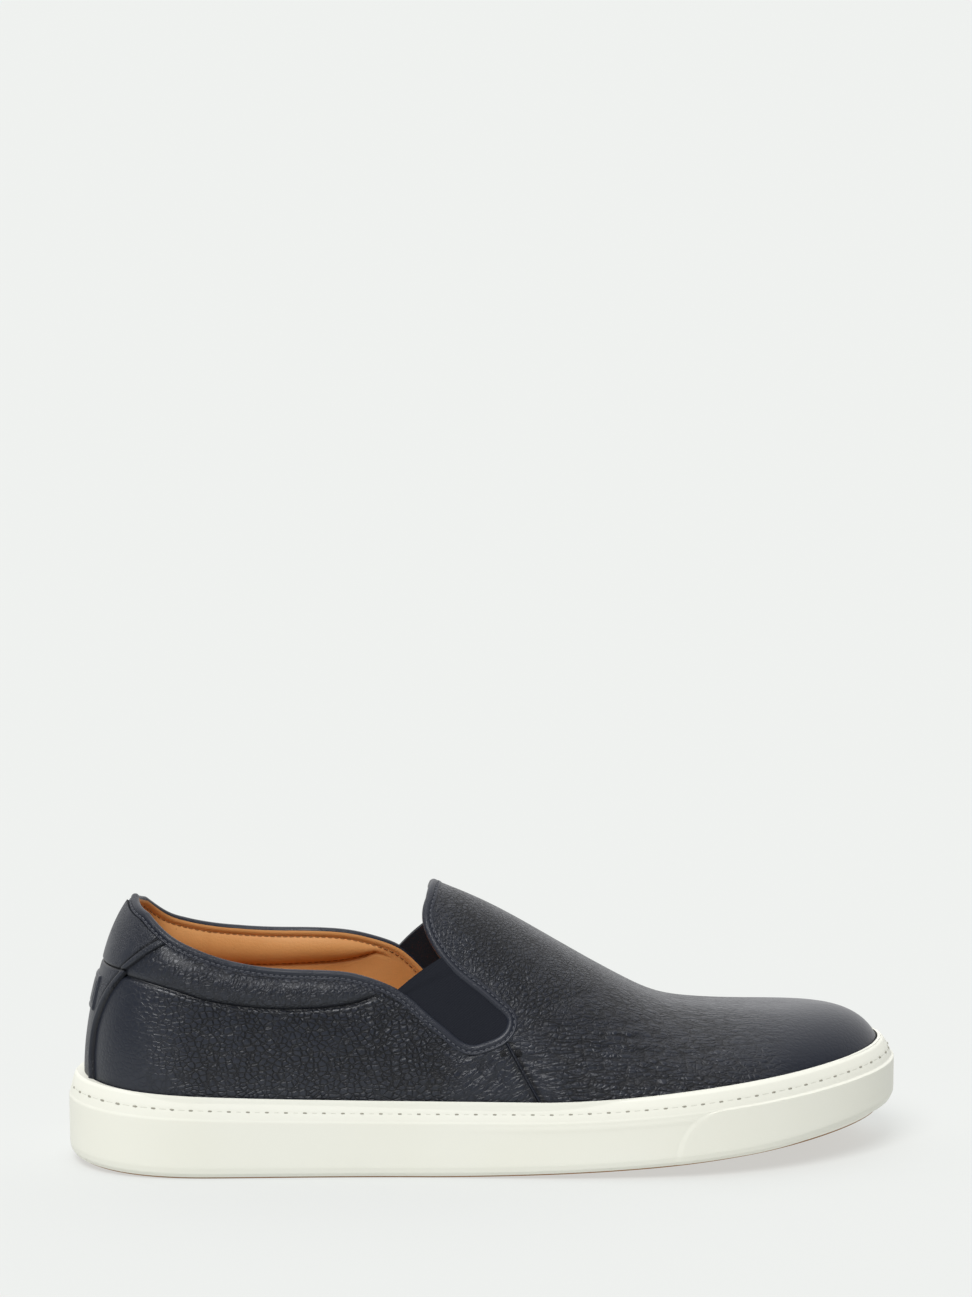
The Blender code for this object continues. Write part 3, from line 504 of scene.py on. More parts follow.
def quarter_rows(per_row):
    behind = np.linspace(0, 2, 4 * per_row + 1)[:-1]
    return np.concatenate([behind, np.linspace(2, SEAM_ROW, 16 * per_row + 1)])


def seam_foot_turn(side):
    height = cup_floor(SEAM_FOOT) + CLEARANCE
    return float(on_last(side, np.array([LENGTH * SEAM_FOOT]), height)[0][0])


def quarter_grid(side):
    rows = quarter_rows(PER_ROW)
    top_turn, top_lift = edge_chart(side, rows, EDGE_OFF)
    lean = (rows / SEAM_ROW) ** 2
    low_turn = top_turn + (seam_foot_turn(side) - top_turn[-1]) * lean
    pad_share = pad_start(side, rows, top_turn, top_lift)
    below = (1 - (1 - np.linspace(0, 1, QUARTER_ROWS + 1)) ** CROWDING)[:, None] * pad_share
    inside = np.linspace(0, 1, PAD_ROWS + 1)[1:, None]
    share = np.concatenate([below, pad_share + (1 - pad_share) * inside])
    turn = low_turn + (top_turn - low_turn) * share
    return turn, top_lift * share, pad_hump(rows, share, pad_share), rows


def vamp_rows(per_row):
    return np.linspace(SEAM_ROW, TONGUE_ROW, (TONGUE_ROW - SEAM_ROW) * per_row + 1)[1:]


def vamp_grid(side, seam_turn, seam_lift):
    edge_turn, edge_lift = edge_chart(side, vamp_rows(VAMP_PER_ROW), EDGE_OFF)
    start_turn = np.concatenate([seam_turn, edge_turn])[:, None]
    start_lift = np.concatenate([seam_lift, edge_lift])[:, None]
    toe_lift = np.linspace(0, np.pi / 2, len(start_lift))[:, None]
    share = np.linspace(0, 1, VAMP_COLUMNS + 1)[None, :]
    return start_turn + (1 - start_turn) * share, start_lift + (toe_lift - start_lift) * share


halves = {}
for side, side_name in SIDES.items():
    turn, lift, hump, rows = quarter_grid(side)
    halves[side] = {"quarter": (turn, lift, hump, rows), "vamp": vamp_grid(side, turn[:, -1], lift[:, -1])}
    print(side_name, "quarter grid", turn.shape, "vamp grid", halves[side]["vamp"][0].shape)

# %% [markdown]
# ## Sewing grids into a mesh
# One helper turns grids of points into a mesh: it welds the points that two grids share, turns the faces
# outwards and carries along numbers per point, such as how pebbled the leather is there. Writing the faces
# from the grid's own rows keeps every quad in order, which a surface made by a modifier would not promise.

# %% Meshes from grids
WELD = 1.5e-5
ROOT = "root"
made_pieces = []


def grid_faces(rows, columns, start):
    corner = start + np.arange(rows * columns).reshape(rows, columns)
    quads = [corner[:-1, :-1], corner[:-1, 1:], corner[1:, 1:], corner[1:, :-1]]
    return np.stack(quads, -1).reshape(-1, 4)


def faces_outwards(shape):
    """How far the faces point away from the middle: below 0 for a sheet that is inside out."""
    middle = sum((v.co for v in shape.verts), Vector()) / len(shape.verts)
    return sum(f.normal.dot(f.calc_center_median() - middle) * f.calc_area() for f in shape.faces)


def piece(name, points, faces, finish, values=None, facing=1, crease_angle=50):
    mesh = bpy.data.meshes.new(name)
    mesh.from_pydata(np.asarray(points, float).tolist(), [], [list(map(int, f)) for f in faces])
    for label, numbers in (values or {}).items():
        layer = mesh.attributes.new(label, "FLOAT", "POINT")
        layer.data.foreach_set("value", np.asarray(numbers, np.float32).ravel())
    shape = bmesh.new()
    shape.from_mesh(mesh)
    bmesh.ops.remove_doubles(shape, verts=shape.verts, dist=WELD)
    bmesh.ops.recalc_face_normals(shape, faces=shape.faces)
    if faces_outwards(shape) * facing < 0:
        bmesh.ops.reverse_faces(shape, faces=shape.faces)
    shape.to_mesh(mesh)
    shape.free()
    mesh.shade_smooth()
    mesh.set_sharp_from_angle(angle=math.radians(crease_angle))
    mesh.materials.append(finish)
    made = bpy.data.objects.new(name, mesh)
    bpy.context.scene.collection.objects.link(made)
    made_pieces.append(made)
    return made


def sewn(name, grids, finish, values=None, facing=1, crease_angle=50):
    points = np.concatenate([grid.reshape(-1, 3) for grid in grids])
    faces, start = [], 0
    for grid in grids:
        faces.append(grid_faces(*grid.shape[:2], start))
        start += grid.shape[0] * grid.shape[1]
    flat = {}
    for label, parts in (values or {}).items():
        flat[label] = np.concatenate([part.ravel() for part in parts])
    return piece(name, points, np.concatenate(faces), finish, flat, facing, crease_angle)


def dress(made, slot, *nodes):
    """Hangs a piece on the shoe and hides the plain solids that it stands for. The finish slot is not used.
    """
    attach(made, ROOT)
    if nodes:
        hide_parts(*nodes)
    print(made.name, len(made.data.polygons), "faces")
    return made


print("helpers ready")

# %% [markdown]
# ## Writing a finish as a formula
# A finish is a graph of nodes, and a long graph is hard to read as code. A small class wraps a socket, so a
# mask or a bump is written as plain arithmetic and the Math nodes appear by themselves. Any other node comes
# from one method that takes its type, its settings and its inputs.


# %% A socket that can be added and multiplied
class Wire:
    def __init__(self, finish, socket):
        self.finish = finish
        self.socket = socket

    def math(self, operation, *others):
        inputs = {0: self, **dict(enumerate(others, 1))}
        return self.finish.node("ShaderNodeMath", {"operation": operation}, inputs)

    def __add__(self, other):
        return self.math("ADD", other)

    def __mul__(self, other):
        return self.math("MULTIPLY", other)

    def __sub__(self, other):
        return self.math("SUBTRACT", other)

    def __rsub__(self, other):
        return (self * -1) + other

    def __truediv__(self, other):
        return self.math("DIVIDE", other)

    def __pow__(self, other):
        return self.math("POWER", other)

    __radd__ = __add__
    __rmul__ = __mul__

    def held(self):
        """The same number kept between 0 and 1."""
        return self.finish.node("ShaderNodeClamp", {}, {"Value": self})

    def step(self, start, end):
        """0 before start, 1 after end, and a soft step between."""
        settings = {"interpolation_type": "SMOOTHSTEP"}
        inputs = {"Value": self, "From Min": start, "From Max": end}
        return self.finish.node("ShaderNodeMapRange", settings, inputs)


class Finish:
    def __init__(self, name, colour, roughness, **constants):
        self.material = bpy.data.materials.new(name)
        self.material.use_nodes = True
        self.tree = self.material.node_tree
        self.shader = self.tree.nodes["Principled BSDF"]
        self.set("Base Color", (*colour, 1))
        self.set("Roughness", roughness)
        for label, value in constants.items():
            self.set(label.replace("_", " "), value)

    def set(self, label, value):
        self.put(self.shader.inputs[label], value)

    def put(self, socket, value):
        if isinstance(value, Wire):
            self.tree.links.new(value.socket, socket)
        else:
            socket.default_value = value

    def node(self, kind, settings=None, inputs=None, output=0):
        made = self.tree.nodes.new(kind)
        for label, value in (settings or {}).items():
            setattr(made, label, value)
        for label, value in (inputs or {}).items():
            self.put(made.inputs[label], value)
        return Wire(self, made.outputs[output])

    def place(self):
        return self.node("ShaderNodeTexCoord", output="Object")

    def number(self, label):
        """A number that the mesh carries at each point."""
        return self.node("ShaderNodeAttribute", {"attribute_name": label}, output="Fac")

    def noise(self, where, scale, detail=3.0, roughness=0.5):
        inputs = {"Vector": where, "Scale": scale, "Detail": detail, "Roughness": roughness}
        return self.node("ShaderNodeTexNoise", {}, inputs)

    def cells(self, where, scale, feature="DISTANCE_TO_EDGE", randomness=1.0):
        inputs = {"Vector": where, "Scale": scale, "Randomness": randomness}
        return self.node("ShaderNodeTexVoronoi", {"feature": feature}, inputs)

    def stretched(self, where, lean, along, across=1.0):
        """Places drawn out along a line that leans up from the shoe's length."""
        inputs = {"Vector": where, "Rotation": (0, -math.radians(lean), 0), "Scale": (along, across, across)}
        return self.node("ShaderNodeMapping", {"vector_type": "TEXTURE"}, inputs)

    def shaken(self, where, scale, amount):
        """Places moved a little at random, so that a pattern loses its straight lines."""
        inputs = {"Vector": where, "Scale": scale, "Detail": 2.0}
        drift = self.node("ShaderNodeTexNoise", {}, inputs, output="Color")
        centred = self.node("ShaderNodeVectorMath", {"operation": "SUBTRACT"}, {0: drift, 1: (0.5, 0.5, 0.5)})
        sized = self.node("ShaderNodeVectorMath", {"operation": "SCALE"}, {0: centred, "Scale": amount})
        return self.node("ShaderNodeVectorMath", {"operation": "ADD"}, {0: where, 1: sized})

    def blend(self, share, first, second):
        inputs = {0: share, 6: first, 7: second}
        return self.node("ShaderNodeMix", {"data_type": "RGBA"}, inputs, output=2)

    def relief(self, height, depth):
        """Bumps of a real depth in metres, from a height between 0 and 1."""
        inputs = {"Height": height, "Distance": depth, "Strength": 1.0}
        self.set("Normal", self.node("ShaderNodeBump", {}, inputs))


print("finish class ready")

# %% [markdown]
# ## The navy leather
# The leather is tumbled, so it shrinks into small pebbles divided by fine creases. Pulling it over the last
# stretches them: they vanish over the heel stiffener and the toe, and open into long wrinkles where the foot
# bends. A photograph of leather could be wrapped on, but it would slide and repeat. Here cells drawn in space
# make the pebbles, and cells drawn out along a line make the wrinkles, each mixed in by a number that the
# mesh carries.

# %% Navy leather
NAVY = (0.0082, 0.0112, 0.0205)
# The crease colour below is painted shade. The worn colour is a lighter tone at random and also a painted
# highlight on the pebble tops.
NAVY_PAINTED_SHADE = (0.0013, 0.0019, 0.0040, 1)
NAVY_WEAR_AND_HIGHLIGHT = (0.0205, 0.0240, 0.0355, 1)
PEBBLE = 0.00175
WRINKLE = 0.0019


def pebble_field(finish, where, size):
    """Round-topped cells of a size in metres: 0 in the creases between them and 1 on top."""
    rise = finish.cells(where, 1 / size, "F1")
    crease = (finish.cells(where, 1 / size) * 5.5).held() ** 0.8
    return (1 - rise * rise * 0.45).held() * crease


def wrinkle_field(finish, where, spacing):
    """0 along wavy lines about a spacing in metres apart and 1 between them."""
    swing = (finish.noise(where, 0.9 / spacing, 1.5, 0.4) - 0.5).math("ABSOLUTE")
    return (swing * 12).held() ** 0.8


def leather(name):
    finish = Finish(name, NAVY, 0.42, Coat_Weight=0.16, Coat_Roughness=0.24, Specular_IOR_Level=0.42)
    where = finish.place()
    calm = finish.shaken(where, 150, 0.0022)
    loose = finish.shaken(calm, 700, 0.0005)
    pebbles = pebble_field(finish, finish.stretched(loose, 0, 1.35), PEBBLE)
    steep = pebble_field(finish, finish.stretched(loose, 58, 2.2), WRINKLE * 0.85)
    slanted = pebble_field(finish, finish.stretched(calm, 36, 2.8), WRINKLE * 0.85)
    drawn = finish.stretched(calm, -3, 4.0)
    level = pebble_field(finish, drawn, WRINKLE) * 0.75 + wrinkle_field(finish, drawn, 0.0034) * 0.25
    uneven = finish.noise(where, 130, 2.0).step(0.30, 0.66) * 0.3 + 0.7
    dips = (
        (1 - pebbles) * finish.number("pebbled")
        + (1 - steep) * finish.number("steep")
        + (1 - slanted) * finish.number("slanted")
        + (1 - level) * finish.number("flexed")
    )
    dips = (dips * uneven).held()
    broad = finish.noise(where, 420, 3.0)
    # Lighter at random, and lighter on the pebble tops as a painted highlight.
    tone = finish.noise(where, 24, 3.0).step(0.35, 0.65) * 0.25 + (1 - dips) * 0.35
    colour = finish.blend(tone.held(), (*NAVY, 1), NAVY_WEAR_AND_HIGHLIGHT)
    # Painted shade: the grain's creases and the places that the mesh marks are blended towards the dark
    # crease colour.
    shade = ((dips * 1.3).held() * 0.92 + finish.number("painted_shade")).held()
    finish.set("Base Color", finish.blend(shade, colour, NAVY_PAINTED_SHADE))
    finish.set("Roughness", 0.34 + dips * 0.30 + broad * 0.05)
    finish.relief(1 - dips + broad * 0.06, 0.00052)
    return finish.material


navy_leather = leather("navy_leather_tumbled")
print(navy_leather.name, len(navy_leather.node_tree.nodes), "nodes")

# %% [markdown]
# ## The smooth navy leather of edges and overlays
# Binding, heel tab and back strip are cut from the same hide, but they are skived thin and pulled tight, so
# only pores and a faint grain are left. One recipe with a weaker net does for all of them.


# %% Smooth navy leather
def smooth_leather(name, colour, net_depth, roughness):
    finish = Finish(name, colour, roughness, Coat_Weight=0.10, Coat_Roughness=0.25, Specular_IOR_Level=0.46)
    where = finish.place()
    net = pebble_field(finish, finish.shaken(where, 500, 0.0010), 0.00105)
    patchy = finish.noise(where, 80, 2.0).step(0.38, 0.62)
    pores = finish.noise(where, 2800, 2.0)
    tone = finish.noise(where, 30, 2.0).step(0.35, 0.65) * 0.5
    tinted = finish.blend(tone, (*colour, 1), NAVY_WEAR_AND_HIGHLIGHT)
    # Painted shade: blended towards the dark crease colour where the mesh marks grooves, lap edges and seams.
    finish.set("Base Color", finish.blend(finish.number("painted_shade").held(), tinted, NAVY_PAINTED_SHADE))
    finish.set("Roughness", roughness + (1 - net) * patchy * 0.12 + pores * 0.06)
    finish.relief((net * patchy + (1 - patchy)) * net_depth + pores * 0.12, 0.00034)
    return finish.material


tab_leather = smooth_leather("navy_leather_pulled", NAVY, 0.55, 0.40)
edge_leather = smooth_leather("navy_leather_edging", (0.0080, 0.0110, 0.0215), 0.35, 0.40)
print(tab_leather.name, edge_leather.name)

# %% [markdown]
# ## Tan lining leather
# The lining is vegetable-tanned calf: warm, matt, with fine pores and a few darker dots where hairs grew. It
# is a thin dyed skin, so its tone drifts over a few centimetres. Noise gives the drift and tiny cells the
# dots.

# %% Tan leather
TAN = (0.64, 0.300, 0.095)
TAN_DEEP = (0.42, 0.170, 0.045, 1)
TAN_LIGHT = (0.74, 0.385, 0.145, 1)


def tan_leather(name):
    finish = Finish(name, TAN, 0.58, Specular_IOR_Level=0.35)
    where = finish.place()
    drift = finish.noise(where, 45, 3.0).step(0.3, 0.7)
    colour = finish.blend(drift * 0.55, (*TAN, 1), TAN_LIGHT)
    dots = 1 - finish.cells(where, 260, "F1").step(0.05, 0.11)
    scarce = finish.noise(where, 190, 1.0).step(0.5, 0.6)
    colour = finish.blend(dots * scarce * 0.7, colour, TAN_DEEP)
    finish.set("Base Color", colour)
    fine = finish.noise(where, 1900, 3.0)
    net = pebble_field(finish, finish.shaken(where, 500, 0.0012), 0.0012)
    finish.set("Roughness", 0.52 + fine * 0.12)
    finish.relief(fine * 0.35 + net * 0.35 + (1 - dots * scarce) * 0.3, 0.00010)
    return finish.material


lining_leather = tan_leather("tan_calf_lining")
print(lining_leather.name)

# %% [markdown]
# ## Cream and honey rubber
# The cup is moulded in a steel tool that was lightly blasted, so it has a soft satin skin with very fine
# grain, and its colour is nearly even. The tread under it is a harder honey-brown rubber.


# %% Rubber
def rubber(name, colour, warm, roughness):
    finish = Finish(name, colour, roughness, Specular_IOR_Level=0.45, Subsurface_Weight=0.0)
    where = finish.place()
    drift = finish.noise(where, 18, 3.0).step(0.3, 0.7)
    finish.set("Base Color", finish.blend(drift * 0.5, (*colour, 1), (*warm, 1)))
    blasted = finish.noise(where, 3200, 2.0)
    waves = finish.noise(where, 90, 2.0)
    finish.set("Roughness", roughness + blasted * 0.08 - waves * 0.06)
    finish.relief(blasted * 0.35 + waves * 0.5, 0.00006)
    return finish.material


cream_rubber = rubber("cream_rubber_blasted", (0.845, 0.845, 0.765), (0.825, 0.82, 0.72), 0.50)
honey_rubber = rubber("honey_rubber_tread", (0.36, 0.185, 0.065), (0.31, 0.155, 0.055), 0.60)
print(cream_rubber.name, honey_rubber.name)

# %% [markdown]
# ## Elastic and threads
# The gore is woven elastic: fine ribs side by side, matt and nearly black. The threads are plain spun
# cords, so a short twist along each stitch is all that shows.


# %% Elastic and thread
def elastic(name, colour):
    finish = Finish(name, colour, 0.82, Sheen_Weight=0.15, Sheen_Roughness=0.5, Specular_IOR_Level=0.25)
    where = finish.stretched(finish.place(), -52, 1.0)
    rib_inputs = {"Vector": where, "Scale": 420.0, "Distortion": 0.3, "Detail": 1.0}
    ribs = finish.node("ShaderNodeTexWave", {"bands_direction": "X"}, rib_inputs, output="Fac")
    weave = finish.noise(finish.stretched(finish.place(), -52, 0.3), 1500, 2.0)
    lighter = (*[c * 1.7 for c in colour], 1)
    finish.set("Base Color", finish.blend(ribs * 0.4 + weave * 0.3, (*colour, 1), lighter))
    finish.set("Roughness", 0.75 + weave * 0.15)
    finish.relief(ribs * 0.5 + weave * 0.5, 0.00010)
    return finish.material


def thread(name, colour, roughness=0.55):
    finish = Finish(name, colour, roughness, Sheen_Weight=0.1, Specular_IOR_Level=0.35)
    where = finish.stretched(finish.place(), 45, 1.0)
    twist_inputs = {"Vector": where, "Scale": 900.0, "Distortion": 0.8}
    twist = finish.node("ShaderNodeTexWave", {}, twist_inputs, output="Fac")
    finish.set("Base Color", finish.blend(twist * 0.5, (*colour, 1), (*[c * 0.6 for c in colour], 1)))
    finish.relief(twist, 0.00006)
    return finish.material


navy_elastic = elastic("navy_elastic_woven", (0.0042, 0.0056, 0.0105))
navy_thread = thread("navy_thread", (0.085, 0.090, 0.108))
dark_thread = thread("dark_navy_thread", (0.0035, 0.0042, 0.0065))
tan_thread = thread("tan_thread", (0.36, 0.15, 0.045))
cream_thread = thread("cream_thread", (0.78, 0.78, 0.68))
# The needle slit colour is painted shade: a grey mark for the shade inside each needle hole in the rubber.
slit_shade = thread("needle_slit", (0.40, 0.39, 0.32), 0.9)
print("six finishes for the small parts")

# %% [markdown]
# ## Where the leather is stretched, pebbled or bent
# The grain is not the same all over the upper. These small functions answer, for a place in the side view,
# how strong each kind of grain is: pebbles on the quarter and beside the tongue, wrinkles that fan out from
# the notch's front corner, level wrinkles where the toes bend, and nothing over the heel and the toe.

# %% How the grain changes over the upper
FAN_AT = (0.505, 0.50)
TOE_SMOOTH = (0.74, 0.90)
HEEL_SMOOTH = (0.060, 0.170)
SEAM_HEAD = (0.511, 0.475)
SEAM_SLOPE = 0.195
SEAM_SMOOTH = (0.005, 0.055)


def side_view(points):
    """Shares of the length and of the tongue's height at points in the shoe's frame."""
    along = (points[..., 0] + (LENGTH + BUMPER_STEP) / 2) / LENGTH
    return along, points[..., 2] / TONGUE_HEIGHT


def quarter_grain(points, hump, line):
    along, height = side_view(points)
    on_roll = np.clip(hump * 1.4, 0, 1)
    pebbled = (0.12 + 0.88 * ramp(along, *HEEL_SMOOTH)) * (1 - 0.70 * on_roll)
    near_seam = ramp(along, 0.425, 0.475)
    slanted = 0.40 * near_seam + 0.35 * ramp(along, 0.28, 0.40) * (1 - near_seam)
    pebbled = pebbled * (ramp(height, 0.28, 0.40) * 0.3 + 0.7) * (1 - 0.85 * near_seam) * (1 - line)
    slanted = slanted * (1 - on_roll)
    return {"pebbled": pebbled, "steep": 0.42 * on_roll, "slanted": slanted, "flexed": 0 * along}


def vamp_grain(points):
    along, height = side_view(points)
    run = (along - FAN_AT[0]) * LENGTH
    rise = (height - FAN_AT[1]) * TONGUE_HEIGHT
    angle = np.degrees(np.arctan2(rise, run))
    strength = 1 - ramp(along, *TOE_SMOOTH)
    ridge = np.abs(points[..., 1] - 0.004)
    off_ridge = 0.35 + 0.65 * ramp(ridge, 0.004, 0.020)
    near_tip = 1 - ramp(along, 0.46, 0.56)
    steep = ramp(angle, 38, 62)
    level = 1 - ramp(angle, 8, 30)
    slanted = (1 - steep) * (1 - level)
    pebbled = 0.30 + 0.60 * near_tip * ramp(height, 0.6, 0.75)
    off_seam = ramp(along - SEAM_HEAD[0] - (SEAM_HEAD[1] - height) * SEAM_SLOPE, *SEAM_SMOOTH)
    line = strength * off_ridge * (0.25 + 0.75 * off_seam)
    pebbled = pebbled * strength * (0.5 + 0.5 * off_ridge) * (0.4 + 0.6 * off_seam)
    return {
        "pebbled": 0.08 + pebbled,
        "steep": 0.85 * steep * line,
        "slanted": 0.85 * slanted * line,
        "flexed": 0.90 * level * line,
    }


print("grain masks ready")

# %% [markdown]
# ## Wrinkles and puckers, one by one
# The bigger creases are part of the shape, so they are soft troughs and ridges in the mesh itself and not
# only in the finish. Each row of the table is one stroke in the side view, from one end to the other, as
# shares of the length and of the tongue's height, with its width and depth in millimetres.

# %% Strokes on the upper
STROKES = {
    "from_at": (0.548, 0.560, 0.555, 0.570, 0.590, 0.585, 0.610, 0.640, 0.655, 0.600, 0.630, 0.575),
    "from_height": (0.520, 0.470, 0.430, 0.395, 0.530, 0.490, 0.445, 0.470, 0.420, 0.385, 0.350, 0.600),
    "to_at": (0.640, 0.660, 0.650, 0.640, 0.690, 0.700, 0.720, 0.735, 0.750, 0.700, 0.720, 0.640),
    "to_height": (0.505, 0.450, 0.405, 0.375, 0.500, 0.468, 0.430, 0.452, 0.408, 0.368, 0.345, 0.610),
    "width": (1.6, 1.5, 1.6, 1.5, 1.4, 1.5, 1.6, 1.4, 1.5, 1.5, 1.4, 1.5),
    "depth": (0.30, 0.34, 0.30, 0.24, 0.26, 0.30, 0.30, 0.24, 0.22, 0.22, 0.16, 0.22),
}
PUCKERS = {
    "from_at": (0.500, 0.503, 0.511, 0.494, 0.516, 0.488, 0.527, 0.534, 0.541),
    "from_height": (0.440, 0.405, 0.395, 0.455, 0.375, 0.410, 0.425, 0.395, 0.360),
    "to_at": (0.481, 0.470, 0.492, 0.458, 0.506, 0.455, 0.556, 0.566, 0.566),
    "to_height": (0.372, 0.330, 0.315, 0.420, 0.310, 0.365, 0.405, 0.360, 0.325),
    "width": (1.7, 1.5, 1.7, 1.7, 1.4, 1.5, 1.6, 1.6, 1.4),
    "depth": (0.85, 0.70, 0.85, 0.60, 0.55, 0.55, 0.60, 0.50, 0.40),
}
MM = 0.001


def stroke_relief(points, table):
    """How far strokes push the surface in, with soft sides and ends."""
    along, height = side_view(points)
    x, z = along * LENGTH, height * TONGUE_HEIGHT
    pushed = np.zeros(x.shape)
    for from_at, from_height, to_at, to_height, width, depth in zip(*table.values()):
        start = np.array([from_at * LENGTH, from_height * TONGUE_HEIGHT])
        end = np.array([to_at * LENGTH, to_height * TONGUE_HEIGHT])
        run = end - start
        share = ((x - start[0]) * run[0] + (z - start[1]) * run[1]) / (run @ run)
        held = np.clip(share, 0, 1)
        bow = 0.25 * width * MM * np.sin(held * 7)
        off = np.hypot(x - start[0] - held * run[0], z - start[1] - held * run[1] - bow)
        ends = np.sin(np.pi * np.clip(held, 0.02, 0.98)) ** 0.5
        near = (off / (width * MM)) ** 2
        pushed += depth * MM * ends * np.exp(-near) * (1 - 0.45 * near)
    return pushed


print(len(STROKES["width"]) + len(PUCKERS["width"]), "strokes")

# %% [markdown]
# ## The quarters
# Each quarter is one panel from the heel to the side seam. Its top is filled with foam behind the leather,
# held down by a row of stitches that pulls a deep crease under the roll. The foam also bunches the leather
# into many small cross wrinkles. The panel is built on its grid, pushed out by the padding and in by creases.

# %% Quarters
PAD_CREASE = 0.0010
PAD_CREASE_WIDTH = 0.0008
ROLL_SWELL = 1.2
ROLL_WRINKLE = 0.00014
SEAM_TROUGH = 0.0006
BEHIND_SEAM = (0.0013, 0.0007)
BEFORE_SEAM = (0.0016, 0.0008)


def column_run(points):
    """Distance along each column of a grid, from its foot."""
    steps = np.linalg.norm(np.diff(points, axis=0), axis=-1)
    return np.concatenate([np.zeros((1, points.shape[1])), np.cumsum(steps, axis=0)])


def row_run(points):
    """Distance along each row of a grid, from its start."""
    return column_run(np.swapaxes(points, 0, 1)).T


def sewn_down(rows):
    """1 where the foam has its full depth, falling to 0 where it ends at the notch."""
    return np.clip(pad_depth(edge_line(rows)[0]) / (0.05 * TONGUE_HEIGHT), 0, 1)[None, :]


def quarter_relief(side):
    turn, lift, hump, rows = halves[side]["quarter"]
    base = sheet_points(side, turn, lift, 0.0)
    run = column_run(base)
    line = bell(run - run[QUARTER_ROWS], PAD_CREASE_WIDTH) * sewn_down(rows)
    travel = row_run(base)
    waves = np.sin(travel / 0.0021 + 2.2 * np.sin(travel / 0.017)) * np.sin(travel / 0.0083 + 1.0)
    roll = ROLL_WRINKLE * waves * hump
    seam = 0.6 * bell(travel[:, -1:] - travel - BEHIND_SEAM[0], BEHIND_SEAM[1])
    swell = ROLL_SWELL * COLLAR_PAD_OUT * hump + roll
    depth = swell - PAD_CREASE * line - stroke_relief(base, PUCKERS) - SEAM_TROUGH * seam
    # The last value is painted shade: it darkens the crease under the roll and the trough behind the side
    # seam.
    return depth, base, line, line * 0.8 + seam * 0.9


for side, side_name in SIDES.items():
    depth, base, line, painted_shade = quarter_relief(side)
    turn, lift, hump, rows = halves[side]["quarter"]
    values = {label: [numbers] for label, numbers in quarter_grain(base, hump, line).items()}
    values["painted_shade"] = [painted_shade]
    quarter = sewn("quarter_" + side_name, [sheet_points(side, turn, lift, depth)], navy_leather, values)
    dress(quarter, "navy_leather", "upper")

# %% [markdown]
# ## The vamp
# The vamp is one panel from side seam to side seam, over the toes and up to the tongue's tip. Both of its
# halves are grids that meet on the ridge, where the helper welds them into one skin.

# %% Vamp
def vamp_relief(side):
    turn, lift = halves[side]["vamp"]
    base = sheet_points(side, turn, lift, 0.0)
    pushed = stroke_relief(base, STROKES) + stroke_relief(base, PUCKERS)
    from_seam = row_run(base)[: QUARTER_ROWS + PAD_ROWS + 1]
    painted_shade = np.zeros(base.shape[:2])
    painted_shade[: len(from_seam)] = bell(from_seam - BEFORE_SEAM[0], BEFORE_SEAM[1])
    # The same bell dents the trough before the side seam and, scaled, paints shade into it.
    return -pushed - SEAM_TROUGH * painted_shade, base, painted_shade * 0.9


grids, values = [], {}
for side in SIDES:
    depth, base, painted_shade = vamp_relief(side)
    turn, lift = halves[side]["vamp"]
    grids.append(sheet_points(side, turn, lift, depth))
    for label, numbers in {**vamp_grain(base), "painted_shade": painted_shade}.items():
        values.setdefault(label, []).append(numbers)
dress(sewn("vamp", grids, navy_leather, values), "navy_leather", "upper")

# %% [markdown]
# ## The lining
# Inside, one tan skin follows the whole upper. Foam swells it at the collar, and a seam below the foam pulls
# it in. It uses the same grids at the wall's depth, so it can't poke through the outside anywhere.

# %% Lining
LINING_CREASE, LINING_CREASE_WIDTH = 0.0006, 0.0009
LINING_SEAM, LINING_SEAM_WIDTH = 0.0003, 0.0006
LINING_SEAM_ROW = 5.2
LINING_LIP = {
    "off": (EDGE_OFF, 0.0012, 0.0005, -0.0002, -0.0007),
    "depth": (-WALL, -0.00245, -0.00268, -0.00266, -0.00235),
}


def lining_depth(side):
    turn, lift, hump, rows = halves[side]["quarter"]
    base = sheet_points(side, turn, lift, 0.0)
    run = column_run(base)
    crease = LINING_CREASE * bell(run - run[QUARTER_ROWS], LINING_CREASE_WIDTH) * sewn_down(rows)
    across = row_run(base) - row_run(base)[:, [int(np.argmin(abs(rows - LINING_SEAM_ROW)))]]
    seam = LINING_SEAM * bell(across, LINING_SEAM_WIDTH)
    return -WALL - COLLAR_PAD_IN * hump + crease + seam


def lining_lip(side, rows):
    """The lining's top edge, which climbs the roll's inner side."""
    return np.array([
        sheet_points(side, *edge_chart(side, rows, off), depth) for off, depth in zip(*LINING_LIP.values())
    ])


grids = []
for side in SIDES:
    turn, lift, _, _ = halves[side]["quarter"]
    grids.append(sheet_points(side, turn, lift, lining_depth(side)))
    turn, lift = halves[side]["vamp"]
    grids.append(sheet_points(side, turn[:, ::2], lift[:, ::2], -WALL))
    grids += [lining_lip(side, quarter_rows(PER_ROW)), lining_lip(side, vamp_rows(VAMP_PER_ROW))]
dress(sewn("lining", grids, lining_leather, facing=-1), "tan_leather", "upper")

# %% [markdown]
# ## The edge binding
# A strip of leather is rolled over a cord and sewn down along the whole opening, so the edge is a round roll
# with a flat flange beside it and a stitched groove between the two. A round curve would miss the flange. A
# small cross-section with roll, groove and flange is swept along the edge instead.

